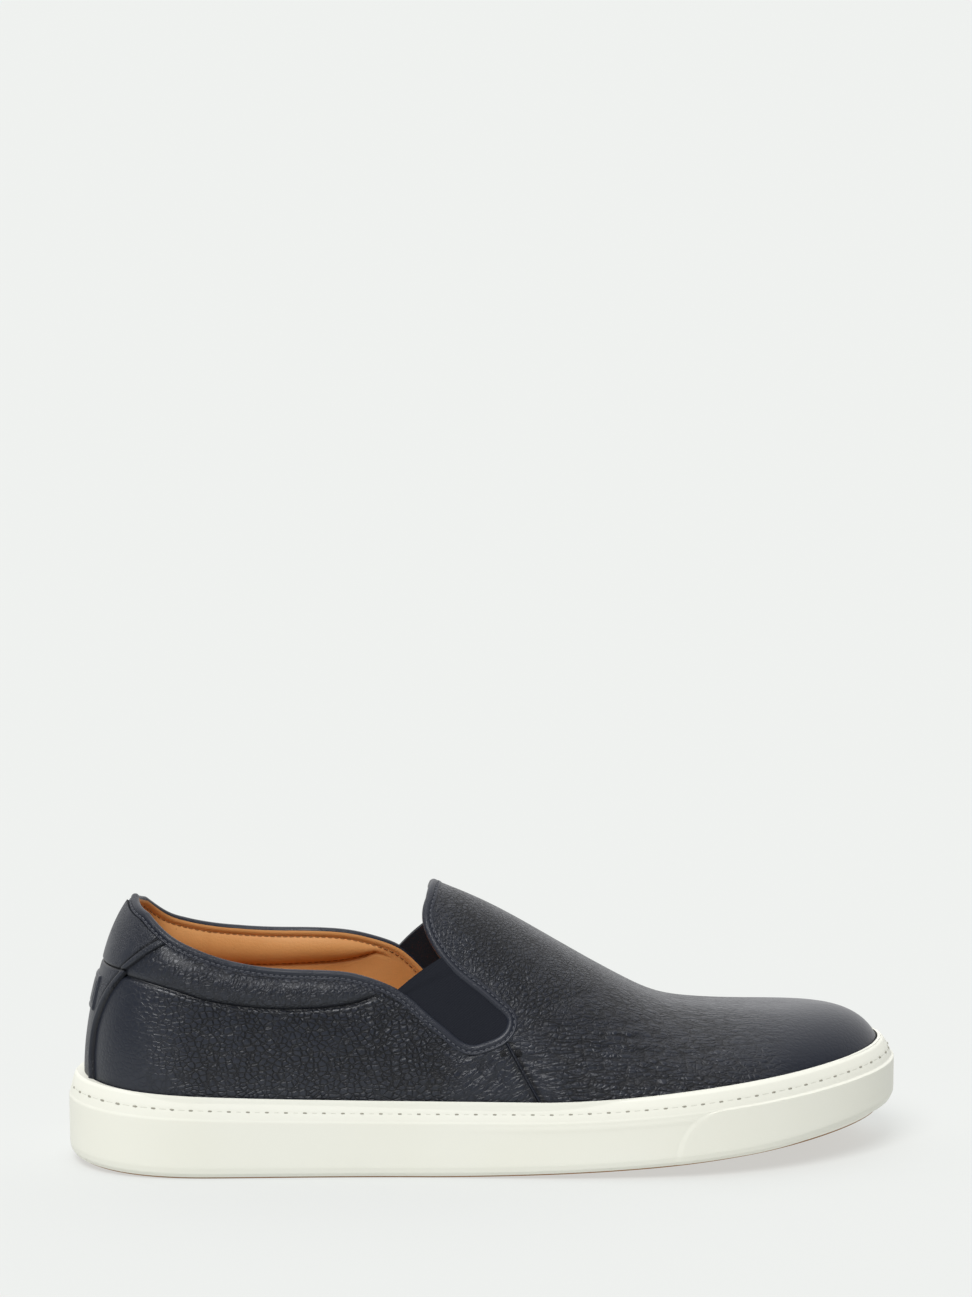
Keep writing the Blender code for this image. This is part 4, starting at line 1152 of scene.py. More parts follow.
# %% Edge binding
BINDING_PER_ROW = 8
FLANGE = {
    "over": (1.06, 1.14, 1.28, 1.48, 1.74, 2.00, 2.22, 2.36, 2.30, 1.60),
    "out": (1.02, 0.98, 1.14, 1.34, 1.44, 1.40, 1.24, 0.98, 0.60, 0.40),
}
ROLL_ANGLES = np.radians((-20, -50, -80, -110, -140, -170, -200, -230, -255, -280, -300, -313))


def binding_path():
    rows = np.concatenate([quarter_rows(BINDING_PER_ROW), vamp_rows(BINDING_PER_ROW)])
    centre, over, out = [], [], []
    for side, kept in ((LATERAL, rows), (MEDIAL, rows[::-1][1:-1])):
        turn, lift = edge_chart(side, kept, 0.0)
        beside = sheet_points(side, *edge_chart(side, kept, 0.001), 0.0)
        normal = outward(side, turn, lift)
        step = beside - sheet_points(side, turn, lift, 0.0)
        step = step - normal * (step * normal).sum(-1, keepdims=True)
        centre.append(sheet_points(side, turn, lift, -WALL / 2))
        over.append(unit(step))
        out.append(normal)
    return np.concatenate(centre), np.concatenate(over), np.concatenate(out)


def binding_section():
    roll_over = BINDING_RADIUS * np.cos(ROLL_ANGLES)
    roll_out = BINDING_RADIUS * np.sin(ROLL_ANGLES)
    over = np.concatenate([np.array(FLANGE["over"]) * MM, roll_over])
    out = np.concatenate([np.array(FLANGE["out"]) * MM, roll_out])
    return over, out


centre, over, out = binding_path()
section_over, section_out = binding_section()
spread = over[:, None] * section_over[None, :, None] + out[:, None] * section_out[None, :, None]
grid = centre[:, None] + spread
grid = np.concatenate([grid, grid[:1]])
grid = np.concatenate([grid, grid[:, :1]], axis=1)
roll = sewn("edge_binding", [grid], edge_leather, crease_angle=70)
dress(roll, "navy_leather", "topline_binding")

# %% [markdown]
# ## Stitches
# A stitch is a short length of thread that dips into the leather at both ends. One helper lays small capsules
# end to end along a line on the surface. That keeps every stitch a real thing, which a painted dashed line
# would not be.


# %% Stitch helper
LENGTH_AND_RADIUS = {
    "binding_thread": (0.0016, 0.00028),
    "lining_thread": (0.0020, 0.00026),
    "bar_tacks": (0.0026, 0.00045),
    "sidewall_thread": (0.0050, 0.00025),
    "needle_slits": (0.0022, 0.00042),
}


def stitch_mesh(name, centres, alongs, ups, length, radius, finish, sides=6):
    """One mesh of capsules with their long axes along a line, flattened a little where they lie."""
    stations = np.array([-1.0, -0.86, -0.5, 0.0, 0.5, 0.86, 1.0])
    rounds = np.array([0.12, 0.62, 0.95, 1.0, 0.95, 0.62, 0.12])
    sinks = np.array([-0.9, -0.35, 0.0, 0.06, 0.0, -0.35, -0.9])
    angles = np.linspace(0, 2 * np.pi, sides, endpoint=False)
    cross = np.cross(alongs, ups)
    wide = radius * rounds[:, None] * np.cos(angles)
    high = radius * (rounds[:, None] * np.sin(angles) + sinks[:, None])
    points = (
        centres[:, None, None]
        + alongs[:, None, None] * (stations * length / 2)[None, :, None, None]
        + cross[:, None, None] * wide[None, :, :, None]
        + ups[:, None, None] * high[None, :, :, None]
    )
    count, rings = len(centres), len(stations)
    faces = []
    for n in range(count):
        start = n * rings * sides
        for i in range(rings - 1):
            for j in range(sides):
                k = (j + 1) % sides
                a, b = start + i * sides, start + (i + 1) * sides
                faces.append((a + j, a + k, b + k, b + j))
        faces.append(tuple(start + j for j in range(sides))[::-1])
        faces.append(tuple(start + (rings - 1) * sides + j for j in range(sides)))
    return piece(name, points.reshape(-1, 3), faces, finish, crease_angle=80)


def sew_row(name, rows, finish, slot):
    """One piece of stitches from lists of places, with their directions along and up."""
    places = [np.concatenate(column) for column in zip(*rows)]
    dress(stitch_mesh(name, *places, *LENGTH_AND_RADIUS[name], finish), slot)


def spaced(line, ups, pitch):
    """Places a pitch apart along a line, with the directions along and up there."""
    run = np.concatenate([[0], np.cumsum(np.linalg.norm(np.diff(line, axis=0), axis=-1))])
    count = max(int(run[-1] / pitch), 1)
    at = (np.arange(count) + 0.5) * run[-1] / count

    def read(values, places):
        return np.stack([np.interp(places, run, values[:, k]) for k in range(3)], -1)

    along = unit(read(line, at + pitch / 4) - read(line, at - pitch / 4))
    up = read(ups, at)
    up = up - along * (up * along).sum(-1, keepdims=True)
    return read(line, at), along, unit(up)


# %% [markdown]
# ## Threads along the binding and in the lining
# The binding's groove carries a navy thread, and the same seam shows inside as a darker orange thread just
# under the roll. A second row inside follows the bottom of the foam.

# %% Threads of the opening
def surface_line(side, chart, depth):
    turn, lift = chart
    return sheet_points(side, turn, lift, depth), outward(side, turn, lift)


GROOVE_OFF = 0.00118
BINDING_PITCH = 0.0021

rows = np.linspace(0.05, TONGUE_ROW - 0.05, 900)
parts = []
for side in SIDES:
    line = surface_line(side, edge_chart(side, rows, GROOVE_OFF), 0.00008)
    parts.append(spaced(*line, BINDING_PITCH))
sew_row("binding_thread", parts, navy_thread, "navy_leather")


# %% Lining threads
def foam_line(side, from_row, to_row):
    """The line on the lining along the foam's foot."""
    turn, lift, _, rows = halves[side]["quarter"]
    kept = (rows >= from_row) & (rows <= to_row)
    depth = lining_depth(side)[QUARTER_ROWS, kept]
    chart = turn[QUARTER_ROWS, kept], lift[QUARTER_ROWS, kept]
    return sheet_points(side, *chart, depth), -outward(side, *chart)


LINING_PITCH = 0.0023

rows = np.linspace(0.05, 14.6, 500)
parts = []
for side in SIDES:
    points, ups = surface_line(side, edge_chart(side, rows, EDGE_OFF + 0.0001), -WALL - 0.0001)
    parts += [spaced(points, -ups, LINING_PITCH), spaced(*foam_line(side, 1.0, 10.3), LINING_PITCH)]
sew_row("lining_thread", parts, tan_thread, "tan_leather")

# %% [markdown]
# ## The elastic gores
# A gore is a strip of woven elastic sewn behind the notch's edges. Its upper edge is folded over, so it is
# thicker there, and the pull between its two sewn edges draws it slightly hollow.

# %% Gores
GORE_OFF = -0.0007
GORE_SAG = 0.0006
GORE_HEM = 0.0004


def gore(side, across=30, down=60):
    back_rows = np.linspace(GORE_TOP_ROW, GORE_BOTTOM_ROW, down + 1)
    front_rows = np.linspace(GORE_FRONT_ROW[side], GORE_BOTTOM_ROW, down + 1)
    back_turn, back_lift = edge_chart(side, back_rows, GORE_OFF)
    front_turn, front_lift = edge_chart(side, front_rows, GORE_OFF)
    share = np.linspace(0, 1, across + 1)[None, :]
    turn = back_turn[:, None] + (front_turn - back_turn)[:, None] * share
    lift = back_lift[:, None] + (front_lift - back_lift)[:, None] * share
    level = np.linspace(0, 1, down + 1)[:, None]
    top = -(WALL - GORE_THICKNESS) / 2 - GORE_SAG * np.sin(np.pi * share) * np.sin(np.pi * level) ** 0.5
    hem = GORE_HEM * (1 - ramp(level, 0.07, 0.085)) * np.ones_like(share)
    outer = sheet_points(side, turn, lift, top + hem)
    inner = sheet_points(side, turn, lift, top - GORE_THICKNESS)
    rims = []
    for face in (outer, inner):
        rims.append(np.concatenate([face[:, 0], face[-1, 1:], face[::-1, -1][1:], face[0, ::-1][1:]]))
    return [outer, inner, np.stack(rims)]


for side, side_name in SIDES.items():
    made = sewn("elastic_" + side_name, gore(side), navy_elastic, crease_angle=60)
    dress(made, "navy_elastic", "gore_" + side_name)

# %% [markdown]
# ## Heel tab, back strip and patch
# Two pieces are laid over the back: the tab over the collar and the strip down to the sole. Their front
# edges are turned under over a thin cord, which leaves a raised lap and a sewn groove behind it. The height
# of each piece is a function of the distance to that edge.

# %% Overlay shapes
LAP_WIDTH = 0.0029
LAP_RISE = 0.0007
LAP_GROOVE = 0.0005
LAP_GROOVE_AT = LAP_WIDTH + 0.0003
LAP_TURN = 0.0005
SEAM_STEP = 0.0006


def lap_height(from_edge):
    """Height over the panel at a distance from its front edge: a rounded lap, a groove and the flat panel."""
    share = np.clip(from_edge / LAP_WIDTH, 0, 1)
    lap = LAP_RISE * np.sqrt(np.clip(1 - (2 * share - 1) ** 2, 0, 1))
    groove = LAP_GROOVE * bell(from_edge - LAP_GROOVE_AT, 0.9 * LAP_TURN)
    thin = (OVERLAY_THICKNESS + LAP_RISE * 0.3) * (1 - ramp(from_edge, 0, LAP_TURN))
    return OVERLAY_THICKNESS + lap - groove - thin


def overlay(name, charts, seam_row):
    """A panel with a lap along its last column and a seam along its first or last row."""
    grids, painted_shade = [], []
    for side, (turn, lift) in charts.items():
        base = sheet_points(side, turn, lift, 0.0)
        run = row_run(base)
        from_edge = run[:, -1:] - run
        rise = column_run(base)
        seam = bell(rise - rise[seam_row], LAP_TURN)
        near = OVERLAY_GAP * 0.3 + COLLAR_PAD_OUT * padding(side, turn, lift)
        outer = sheet_points(side, turn, lift, near + lap_height(from_edge) - SEAM_STEP * seam)
        inner = sheet_points(side, turn, lift, near - 0.0002)
        # Painted shade along the groove, at the turned edge and on the seam row. The inner sheet and the cut
        # edges are painted fully in shade.
        dark = bell(from_edge - LAP_GROOVE_AT, LAP_TURN) + 1 - ramp(from_edge, 0, LAP_TURN)
        made = [outer, inner, np.stack([outer[:, -1], inner[:, -1]]), np.stack([outer[0], inner[0]])]
        grids += [*made, np.stack([outer[-1], inner[-1]])]
        painted_shade += [np.maximum(dark, seam) * 0.9] + [np.ones(grid.shape[:2]) for grid in grids[-4:]]
    return sewn(name, grids, tab_leather, {"painted_shade": painted_shade})


def tab_chart(side, columns=64, rows=60):
    low = TAB_SEAM_HEIGHT * TONGUE_HEIGHT
    share = np.linspace(0, 1, rows)[:, None]
    corner_turn = on_last(side, np.array([LENGTH * HEEL_PIECE["at"][-1]]), low)[0]
    top_rows = np.linspace(0, TAB_CORNER_ROW, columns)
    top_turn, top_lift = edge_chart(side, top_rows, BINDING_RADIUS + 2 * CLEARANCE)
    low_turn = corner_turn * np.linspace(0, 1, columns)
    low_lift = lift_of_height(side, low_turn, low)
    return low_turn + (top_turn - low_turn) * share, low_lift + (top_lift - low_lift) * share


def strip_chart(side, columns=40, rows=90):
    bottom = rim_height(0) - 0.004
    top = TAB_SEAM_HEIGHT * TONGUE_HEIGHT - CLEARANCE
    levels = np.linspace(bottom, top, rows)
    x = LENGTH * smooth(HEEL_PIECE["height"], HEEL_PIECE["at"], levels / TONGUE_HEIGHT)
    turn = on_last(side, x, levels)[0][:, None] * np.linspace(0, 1, columns)[None, :]
    return turn, lift_of_height(side, turn, np.broadcast_to(levels[:, None], turn.shape))


# %% Heel tab and back strip
for node, chart, seam_row in (("heel_tab", tab_chart, 0), ("back_strip", strip_chart, -1)):
    panel = overlay(node + "_panel", {side: chart(side) for side in SIDES}, seam_row)
    dress(panel, "navy_leather", node)


# %% Heel patch
PATCH_EDGE = 0.0009
PATCH_CHANNEL, PATCH_CHANNEL_AT, PATCH_CHANNEL_WIDTH = 0.0003, 0.0019, 0.0004


def patch_chart(side, columns=24, rows=36):
    heights = PATCH_MIDDLE + PATCH_HEIGHT * np.linspace(-0.5, 0.5, rows)
    middle_lift = lift_of_height(side, 0.02, PATCH_MIDDLE)
    per_turn = abs(last(side, 0.02, middle_lift)[1] - last(side, 0, middle_lift)[1]) / 0.02
    turn = np.linspace(0, PATCH_WIDTH / 2 / per_turn, columns)[None, :] * np.ones((rows, 1))
    return turn, lift_of_height(side, turn, np.broadcast_to(heights[:, None], turn.shape))


def patch_grids():
    near = OVERLAY_GAP + OVERLAY_THICKNESS
    grids = []
    for side in SIDES:
        turn, lift = patch_chart(side)
        across = np.linspace(0, 1, turn.shape[1])[None, :]
        up = np.abs(np.linspace(-1, 1, turn.shape[0]))[:, None]
        edge = np.minimum((1 - across) * PATCH_WIDTH / 2, (1 - up) * PATCH_HEIGHT / 2)
        rounded = np.sqrt(np.clip(1 - (1 - np.clip(edge / PATCH_EDGE, 0, 1)) ** 2, 0, 1))
        channel = PATCH_CHANNEL * bell(edge - PATCH_CHANNEL_AT, PATCH_CHANNEL_WIDTH)
        height = near - CLEARANCE + 0.7 * PATCH_THICKNESS * rounded - channel
        grids.append(sheet_points(side, turn, lift, height))
    return grids


dress(sewn("heel_patch_blank", patch_grids(), tab_leather), "navy_leather", "heel_patch")

# %% [markdown]
# ## The side seams
# At each notch's bottom the quarter meets the vamp in a folded seam that runs down to the sole, and a short
# bar of dense stitches crosses its head to stop it tearing. The fold is a leaning ridge with a fine gap in
# it, where the two edges meet, and its shadow lies in the trough that both panels already have.


# %% Side seams
def seam_line(side, share):
    top_turn, top_lift = edge_chart(side, np.array([float(SEAM_ROW)]), EDGE_OFF)
    foot_turn = seam_foot_turn(side)
    return foot_turn + (top_turn - foot_turn) * share, top_lift * share


FOLD_RISE = 0.0017
FOLD_GAP, FOLD_GAP_AT, FOLD_GAP_WIDTH = 0.0006, -0.12, 0.09
FOLD_SINK = 0.0005


def seam_fold(side, rows=70, columns=21):
    turn, lift = seam_line(side, np.linspace(0, 1, 200))
    height = last(side, turn, lift)[:, 2]
    start = np.interp(rim_height(SEAM_FOOT) - 0.003, height, np.linspace(0, 1, 200))
    turn, lift = seam_line(side, np.linspace(start, 0.99, rows))
    per_turn = span(side, turn, lift, by_turn=0.01)
    across = np.linspace(-0.5, 0.5, columns)[None, :]
    turn = turn[:, None] + across * SEAM_WIDTH / per_turn[:, None]
    lift = lift[:, None] * np.ones((1, columns))
    gap = bell(across - FOLD_GAP_AT, FOLD_GAP_WIDTH)
    ridge = (0.75 + 0.5 * across) * np.sqrt(np.clip(1 - (2 * across) ** 2, 0, 1))
    rise = FOLD_RISE * ridge - FOLD_SINK - FOLD_GAP * gap
    # Painted shade on the fold's two sides and in the gap between its edges.
    painted_shade = (np.abs(2 * across) ** 8 + gap) * np.ones(turn.shape)
    return sheet_points(side, turn, lift, rise * np.ones(turn.shape)), painted_shade


for side, side_name in SIDES.items():
    grid, painted_shade = seam_fold(side)
    made = sewn("side_fold_" + side_name, [grid], tab_leather, {"painted_shade": [painted_shade]})
    dress(made, "navy_leather", "side_seam_" + side_name)


# %% Bar tacks
TACK_AT = 0.90


def bar_tack(side):
    """Two clusters of short threads, one on each side of the seam's head."""
    turn, lift = seam_line(side, np.array([TACK_AT]))
    per_turn = span(side, turn, lift, by_turn=0.01)
    per_lift = span(side, turn, lift, by_lift=0.01)
    across = np.array([-3.8, -3.2, -2.6, 1.9, 2.5, 3.1]) * MM
    lean = np.array([-1.2, -0.8, -0.5, 0.5, 0.8, 1.2]) * MM
    turn, lift = turn + across / per_turn, lift + lean / per_lift
    here = sheet_points(side, turn, lift, 0.0001)
    up = outward(side, turn, lift)
    beside = sheet_points(side, turn - 0.0006 / per_turn, lift + 0.0012 / per_lift, 0.0001)
    return here, unit(beside - here), up


sew_row("bar_tacks", [bar_tack(side) for side in SIDES], dark_thread, "navy_leather")

# %% [markdown]
# ## The rubber cup
# The cup is one moulding: side wall, a slightly set-back band under the rim for the stitches, a raised toe
# bumper, a rounded rim and a hollow inside. Its cross-section at each station is drawn as one line from the
# tread's pocket, round the outside and down inside to the floor, with the corners eased as a mould has them.

# %% Cup
CUP_COLUMNS = 240
STITCH_LEVEL = 0.835
CUP_LEVELS = ((0, 1.6, 46), (1.6, 2.6, 26), (2.6, 4, 44))
SOFT_BAND = 0.00008
SOFT_BAND_HEEL = 0.00021
CHANNEL_DEPTH = 0.00005
CHANNEL_WIDTH = 0.0007
BUMPER_EDGE = 0.715
BUMPER_SWEEP = 0.055
BUMPER_TOP = 0.72
BUMPER_GROOVE_AT, BUMPER_GROOVE_WIDTH = -0.0009, 0.0005
RIB_LEVEL, RIB_RISE, RIB_WIDTH = 0.63, 0.00022, 0.0006
CUP = {
    "level": (0.0, 0.45, 1.0, 1.6, 2.0, 2.35, 3.0, 3.6, 4.0),
    "height": (0.0, 0.05, 0.13, 0.70, 0.715, 0.735, 0.86, 0.97, 1.0),
    "inset": (0.0, 0.0, 0.0, 0.0, 0.0, 0.04, 0.38, 0.85, 1.25),
    "bevel": (1.0, 0.30, 0.0, 0.0, 0.0, 0.0, 0.0, 0.0, 0.0),
    "step": (0.0, 0.0, 0.0, 0.0, 0.0, 1.0, 1.0, 1.0, 1.0),
    "ledge": (0.0, 0.0, 0.0, 0.0, 0.0, 1.0, 1.0, 1.0, 1.0),
}
EASING = {"step": 151, "inset": 81, "ledge": 41}


def bumper_share(share, height):
    """0 behind the toe bumper and 1 on it. Its rear edge curves forward as it rises."""
    level = np.clip(height / BUMPER_TOP, 0, 1)
    edge = BUMPER_EDGE + BUMPER_SWEEP * (1 - (1 - level**2.2) ** (1 / 2.2))
    beyond = (share - edge) * LENGTH
    groove = 0.2 * bell(beyond - BUMPER_GROOVE_AT, BUMPER_GROOVE_WIDTH) * (height < BUMPER_TOP)
    return ramp(beyond, -0.0006, 0.0016) - groove


def rim_room(side, turn):
    top = lift_of_height(side, turn, rim_height(length_share(turn)))
    inner = last(side, turn, top) + outward(side, turn, top) * CUP_CLEARANCE
    x, y, out_x, out_y = outline(side, turn, 0.0)
    return (x - inner[:, 0]) * out_x + (y - inner[:, 1]) * out_y - LIP_WALL


def wall_point(side, turn, height, inset, bevel, step, ledge, lift_a=0.0, lift_b=0.0, push=0.0):
    """A point of the cup's outside at a share of its height."""
    share = length_share(turn)
    toe = ramp(share, 0.80, 1)
    rim = RIM_INSET + (RIM_INSET_TOE - RIM_INSET) * toe
    edge = EDGE_BEVEL + (TOE_BEVEL - EDGE_BEVEL) * toe
    grown = 0.4 + 0.6 * ramp(share, BUMPER_EDGE + 0.02, BUMPER_EDGE + 0.20)
    bumper = BUMPER_STEP * bumper_share(share, height) * grown
    band = SOFT_BAND + SOFT_BAND_HEEL * (1 - ramp(share, 0.02, 0.2))
    off = inset * rim + bevel * edge + step * band + BUMPER_STEP - bumper * (1 - ledge)
    if inset > 0:
        off = np.minimum(off, rim_room(side, turn) - LIP_ROUND * (1 - inset / CUP["inset"][-1]))
    x, y, out_x, out_y = outline(side, turn, off - push)
    low = underside(share) + TREAD_STAND + toe * 0.0015 * bevel
    rise = height + toe * 0.09 * lift_a + toe * 0.05 * lift_b
    return np.stack([x, y, low + (rim_height(share) - low) * rise], -1), out_x, out_y


def wall_profile(levels):
    """The wall's columns of numbers read at levels between the table's rows, with eased corners."""
    fine = np.linspace(CUP["level"][0], CUP["level"][-1], 401)
    found = {}
    peaks = {"lift_a": (0, 0, 1, 0, 0, 0, 0, 0, 0), "lift_b": (0, 1, 0, 0, 0, 0, 0, 0, 0)}
    for label, column in {**CUP, **peaks}.items():
        kernel = np.hanning(EASING.get(label, 23))[1:-1]
        reach = len(kernel) // 2
        line = np.interp(fine, CUP["level"], column)
        before, after = 2 * line[0] - line[reach:0:-1], 2 * line[-1] - line[-2 : -reach - 2 : -1]
        padded = np.concatenate([before, line, after])
        found[label] = np.interp(levels, fine, np.convolve(padded, kernel / kernel.sum(), "valid"))
    return found


def cup_grid(side):
    near_bumper = np.linspace(turn_at(0.705), turn_at(0.795), 76)
    straight = np.unique(np.concatenate([np.linspace(0, 1, CUP_COLUMNS + 1), near_bumper]))
    share = length_share(straight)
    rows = []
    for inset_share in (1, 0):
        x, y, _, _ = outline(side, straight, tread_inset(share) - CLEARANCE)
        lip = underside(share) + TREAD_STAND
        rows.append(np.stack([x, y, lip + (TREAD_THICKNESS - TREAD_STAND + CLEARANCE) * inset_share], -1))
    found = wall_profile(np.unique(np.concatenate([np.linspace(*part) for part in CUP_LEVELS])))
    keys = ("height", "inset", "bevel", "step", "ledge", "lift_a", "lift_b")
    wall = rim_height(share) - underside(share)
    before_bumper = (1 - ramp(share, 0.73, 0.745)) * ramp(share, 0.42, 0.56)
    for numbers in zip(*[found[key] for key in keys]):
        channel = CHANNEL_DEPTH * bell((numbers[0] - STITCH_LEVEL) * wall, CHANNEL_WIDTH)
        rib = RIB_RISE * bell((numbers[0] - RIB_LEVEL) * wall, RIB_WIDTH) * before_bumper
        rows.append(wall_point(side, straight, *numbers, rib - channel)[0])
    for part in (0.985, 0.9, 0.66, 0.33, 0.0):
        top = lift_of_height(side, straight, rim_height(share))
        inner = last(side, straight, top * part)
        rows.append(inner + outward(side, straight, top * part) * CUP_CLEARANCE)
    rows[-1] = rows[-1] - np.array([0, 0, CLEARANCE])
    return in_frame(np.array(rows))


def across_shoe(left, right):
    """Strips that close the two sides' first or last lines to one face across the shoe."""
    return np.stack([left, right])


cups = {side: cup_grid(side) for side in SIDES}
pocket = across_shoe(cups[LATERAL][0], cups[MEDIAL][0])
floor_of_cup = across_shoe(cups[LATERAL][-1], cups[MEDIAL][-1])
cup = sewn("rubber_cup", [*cups.values(), pocket, floor_of_cup], cream_rubber, crease_angle=40)
dress(cup, "cream_rubber", "cupsole")

# %% [markdown]
# ## The sidewall's stitches
# A strong thread sews the cup to the upper through the band. What shows is a row of long stitches in a
# shallow channel, with a small slit where the thread dips into the rubber between two of them. Each slit is a
# short grey capsule, painted darker as the shade inside the needle hole.

# %% Sidewall stitches
SIDE_PITCH = 0.0066
THREAD_SINK = 0.00022
SLIT_SINK = 0.00026


def sidewall_line(side, sink):
    """A line along the channel of the stitches, sunk a little below its floor."""
    levels = np.linspace(0, 4, 400)
    found = wall_profile(np.interp(STITCH_LEVEL, wall_profile(levels)["height"], levels))
    numbers = [float(found[key]) for key in ("height", "inset", "bevel", "step", "ledge")]
    straight = np.linspace(0, 1, 600)
    points, out_x, out_y = wall_point(side, straight, *numbers, push=-CHANNEL_DEPTH - sink)
    ups = np.stack([out_x, out_y, np.full(out_x.shape, 0.25)], -1)
    return in_frame(points), unit(ups)


threads, slits = [], []
for side in SIDES:
    threads.append(spaced(*sidewall_line(side, THREAD_SINK), SIDE_PITCH))
    where, along, up = spaced(*sidewall_line(side, SLIT_SINK), SIDE_PITCH)
    slits.append((where + along * SIDE_PITCH / 2, along, up))
sew_row("sidewall_thread", threads, cream_thread, "cream_rubber")
sew_row("needle_slits", slits, slit_shade, "cream_rubber")

# %% [markdown]
# ## The insole
# The sock inside is tan leather over a thin foam, dished under the heel. It is hardly seen, but a hand or a
# camera that looks in from above finds it, so it gets a real surface with its edge curling up the lining.


# %% Insole
def insole_grids(columns=120, rows=18):
    """For each half the dished top and a strip down its edge, then the flat bottom."""
    grids, rims = [], []
    turn = np.linspace(0, 1, columns + 1)
    share = length_share(turn)
    middle_x, middle_y = LENGTH * (0.06 + 0.87 * share), centre_line(share)
    bottom = cup_floor(share) + CLEARANCE
    for side in SIDES:
        edge_x, edge_y, _, _ = outline(side, turn, upper_inset(share) + WALL + 3 * CLEARANCE)
        lines = []
        for reach in 1 - np.linspace(0, 1, rows):
            x, y = middle_x + (edge_x - middle_x) * reach, middle_y + (edge_y - middle_y) * reach
            dish = 1.15 - 0.55 * (1 - reach**2.5)
            lines.append(np.stack([x, y, bottom + INSOLE_THICKNESS * dish], -1))
        top = in_frame(np.array(lines))
        rims.append(in_frame(np.stack([edge_x, edge_y, bottom], -1)))
        grids += [top, np.stack([top[0], rims[-1]])]
    return [*grids, across_shoe(*rims)]


dress(sewn("sock", insole_grids(), lining_leather), "tan_leather", "insole")

# %% [markdown]
# ## The tread
# The tread is a plate of hard rubber let into the bottom of the cup, with straight flex grooves across
# it. They stop a little short of the plate's edge, so from the side it shows as one thin unbroken line.

# %% Tread
TREAD_SPRING_START = 0.62
GROOVE_PITCH = 0.0115
GROOVE_WIDTH = 0.0030
GROOVE_DEPTH = 0.0010
TREAD = {
    "inset": (0.014, 0.0040, 0.0022, 0.0012, 0.0003, 0.0, 0.0),
    "camber": (1, 0.22, 0.08, 0, 0, 0, 0),
    "height": (0, 0, 0, 0, 0, 0.0002, TREAD_THICKNESS),
    "cut": (1, 1, 1, 0, 0, 0, 0),
}


def tread_middle(share):
    spring = np.clip((share - TREAD_SPRING_START) / (1 - TREAD_SPRING_START), 0, 1)
    heel_lift = np.clip(1 - share / 0.08, 0, 1) ** 2
    return TOE_SPRING * spring**1.3 + HEEL_LIFT * heel_lift


def tread_rings(side):
    marks = np.arange(GROOVE_PITCH, LENGTH - GROOVE_PITCH, GROOVE_PITCH) / LENGTH
    half_groove = GROOVE_WIDTH / LENGTH / 2
    edges = np.concatenate([marks - half_groove, marks, marks + half_groove])
    share = np.unique(np.concatenate([length_share(np.linspace(0, 1, 161)), edges]))
    depth = GROOVE_DEPTH * np.clip(1 - np.abs(share[:, None] - marks).min(axis=1) / half_groove, 0, 1)
    lines = []
    for inset, camber, height, cut in zip(*TREAD.values()):
        x, y, _, _ = outline(side, turn_at(share), tread_inset(share) + inset)
        z = underside(share) * (1 - camber) + tread_middle(share) * camber
        lines.append(np.stack([x, y, z + height + cut * depth], -1))
    return in_frame(np.array(lines))


rings = {side: tread_rings(side) for side in SIDES}
bottom = across_shoe(rings[LATERAL][0], rings[MEDIAL][0])
top = across_shoe(rings[LATERAL][-1], rings[MEDIAL][-1])
tread = sewn("tread_plate", [*rings.values(), bottom, top], honey_rubber, crease_angle=30)
dress(tread, "honey_rubber", "outsole")

# %% [markdown]
# ## Floor, light and camera
# A product picture like this is taken on a white sweep under large soft boxes. A wide pale floor fills the
# view and glows a little, which keeps the shadow under the shoe faint. The sky stands for the white studio
# and is brightest high up behind the shoe, and one wide soft light in front on the left shapes the leather.
# The camera has a long lens and stands a little to the left, as high as the toe's top shows.

# %% Floor and light
FLOOR_SIZE = 80.0
SKY_LEAN = math.radians(38)
SKY_LOW = 0.10
SKY_HIGH = 1.34
FLOOR_GLOW = 0.562


def pale_floor():
    finish = Finish("pale_floor", (0.245, 0.250, 0.245), 0.9, Specular_IOR_Level=0.0)
    finish.set("Emission Color", (0.982, 1.0, 0.980, 1))
    finish.set("Emission Strength", FLOOR_GLOW)
    finish.set("Roughness", 0.86 + finish.noise(finish.place(), 3.0) * 0.08)
    return finish.material


half = FLOOR_SIZE / 2
corners = [(-half, -half, 0), (half, -half, 0), (half, half, 0), (-half, half, 0)]
floor_mesh = bpy.data.meshes.new("studio_floor")
floor_mesh.from_pydata(corners, [], [(0, 1, 2, 3)])
floor_mesh.materials.append(pale_floor())
studio_floor = bpy.data.objects.new("studio_floor", floor_mesh)
bpy.context.scene.collection.objects.link(studio_floor)


def soft_sun(name, azimuth, elevation, power, angle):
    """A wide light from far away, so that it falls on the whole floor alike."""
    light = bpy.data.lights.new(name, "SUN")
    light.energy = power
    light.angle = math.radians(angle)
    made = bpy.data.objects.new(name, light)
    made.rotation_euler = (math.radians(90 - elevation), 0, math.radians(azimuth))
    bpy.context.scene.collection.objects.link(made)


soft_sun("box_front", azimuth=-22, elevation=50, power=2.5, angle=32)

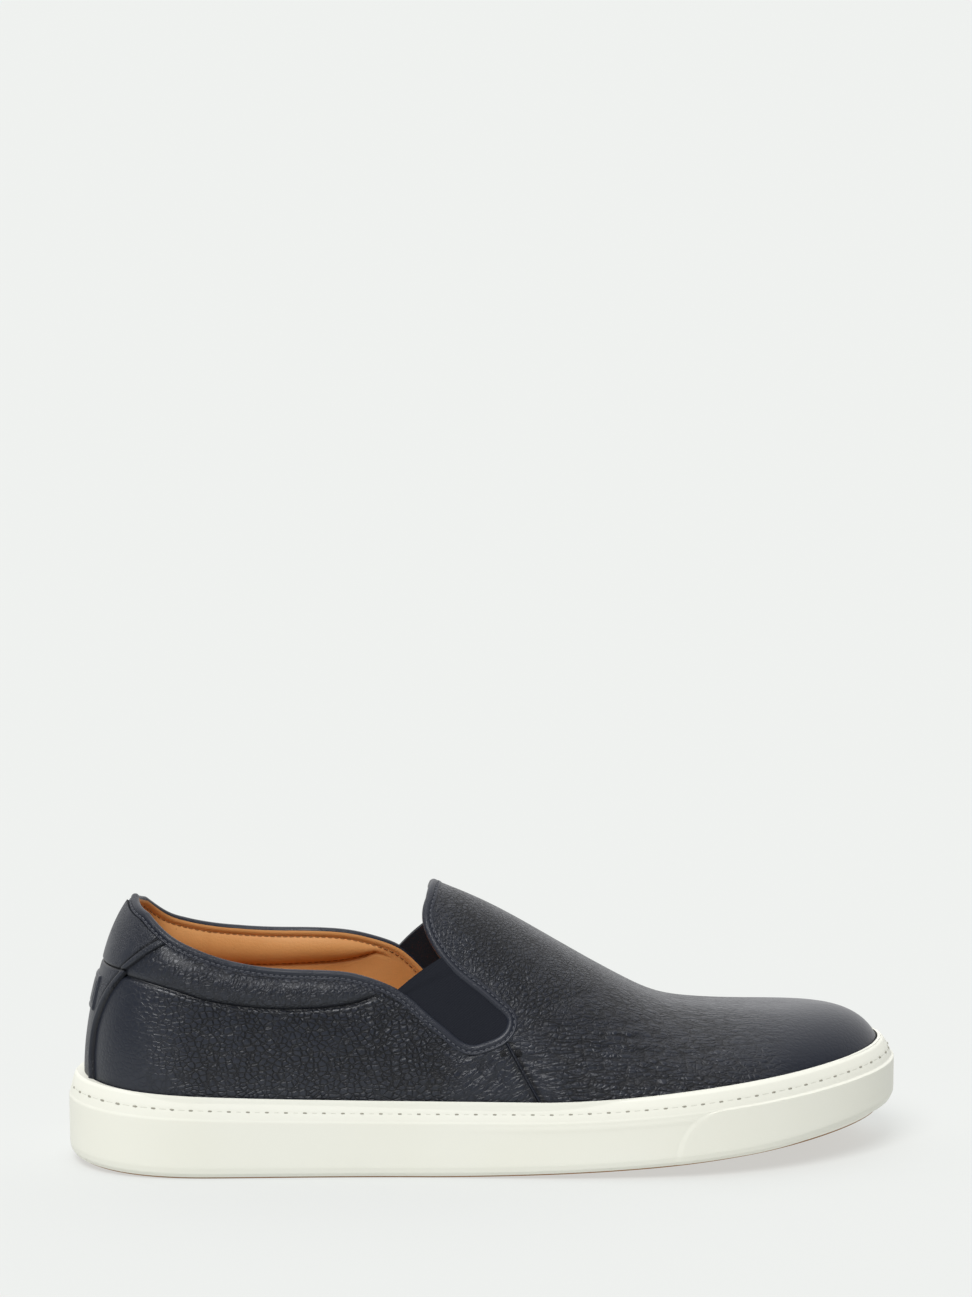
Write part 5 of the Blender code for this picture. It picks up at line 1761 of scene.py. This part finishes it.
world = bpy.data.worlds.new("studio")
bpy.context.scene.world = world
world.use_nodes = True
sky = world.node_tree
direction = sky.nodes.new("ShaderNodeTexCoord")
towards = sky.nodes.new("ShaderNodeVectorMath")
towards.operation = "DOT_PRODUCT"
towards.inputs[1].default_value = (0, math.cos(SKY_LEAN), math.sin(SKY_LEAN))
glow = sky.nodes.new("ShaderNodeMapRange")
glow.inputs["To Min"].default_value, glow.inputs["To Max"].default_value = SKY_LOW, SKY_HIGH
sky.links.new(direction.outputs["Generated"], towards.inputs[0])
sky.links.new(towards.outputs["Value"], glow.inputs["Value"])
sky.links.new(glow.outputs[0], sky.nodes["Background"].inputs["Strength"])
sky.nodes["Background"].inputs["Color"].default_value = (1.0, 1.0, 1.0, 1)
bpy.context.scene.view_settings.view_transform = "Standard"
print("lights placed")

# %% Camera
AZIMUTH, ELEVATION = -5, 13
DISTANCE = 2.0
PIXELS_PER_MM = 2.775
CENTRE = (484.6, 1026.5)
PHOTO = (972, 1297)
SENSOR = 36
TARGET = Vector((0, 0, 0.045))

turned, raised = math.radians(AZIMUTH), math.radians(ELEVATION)
back = Vector((math.sin(turned) * math.cos(raised), -math.cos(turned) * math.cos(raised), math.sin(raised)))
camera_data = bpy.data.cameras.new("camera")
camera_data.sensor_fit = "VERTICAL"
camera_data.sensor_height = SENSOR
camera_data.lens = SENSOR * DISTANCE / (PHOTO[1] / PIXELS_PER_MM * MM)
camera_data.shift_x = (PHOTO[0] / 2 - CENTRE[0]) / PHOTO[1]
camera_data.shift_y = (CENTRE[1] - PHOTO[1] / 2) / PHOTO[1]
camera = bpy.data.objects.new("camera", camera_data)
camera.location = TARGET + back * DISTANCE
camera.rotation_euler = (math.pi / 2 - raised, 0, turned)
bpy.context.scene.collection.objects.link(camera)
bpy.context.scene.camera = camera
print("lens", round(camera_data.lens, 1), "mm")

# %% [markdown]
# ## Triangle count
# The dressed shoe must stay as big as its solids. At the end the script prints how many triangles the dressed
# pieces have.

# %% Count triangles
print("triangles:", sum(sum(len(f.vertices) - 2 for f in made.data.polygons) for made in made_pieces))
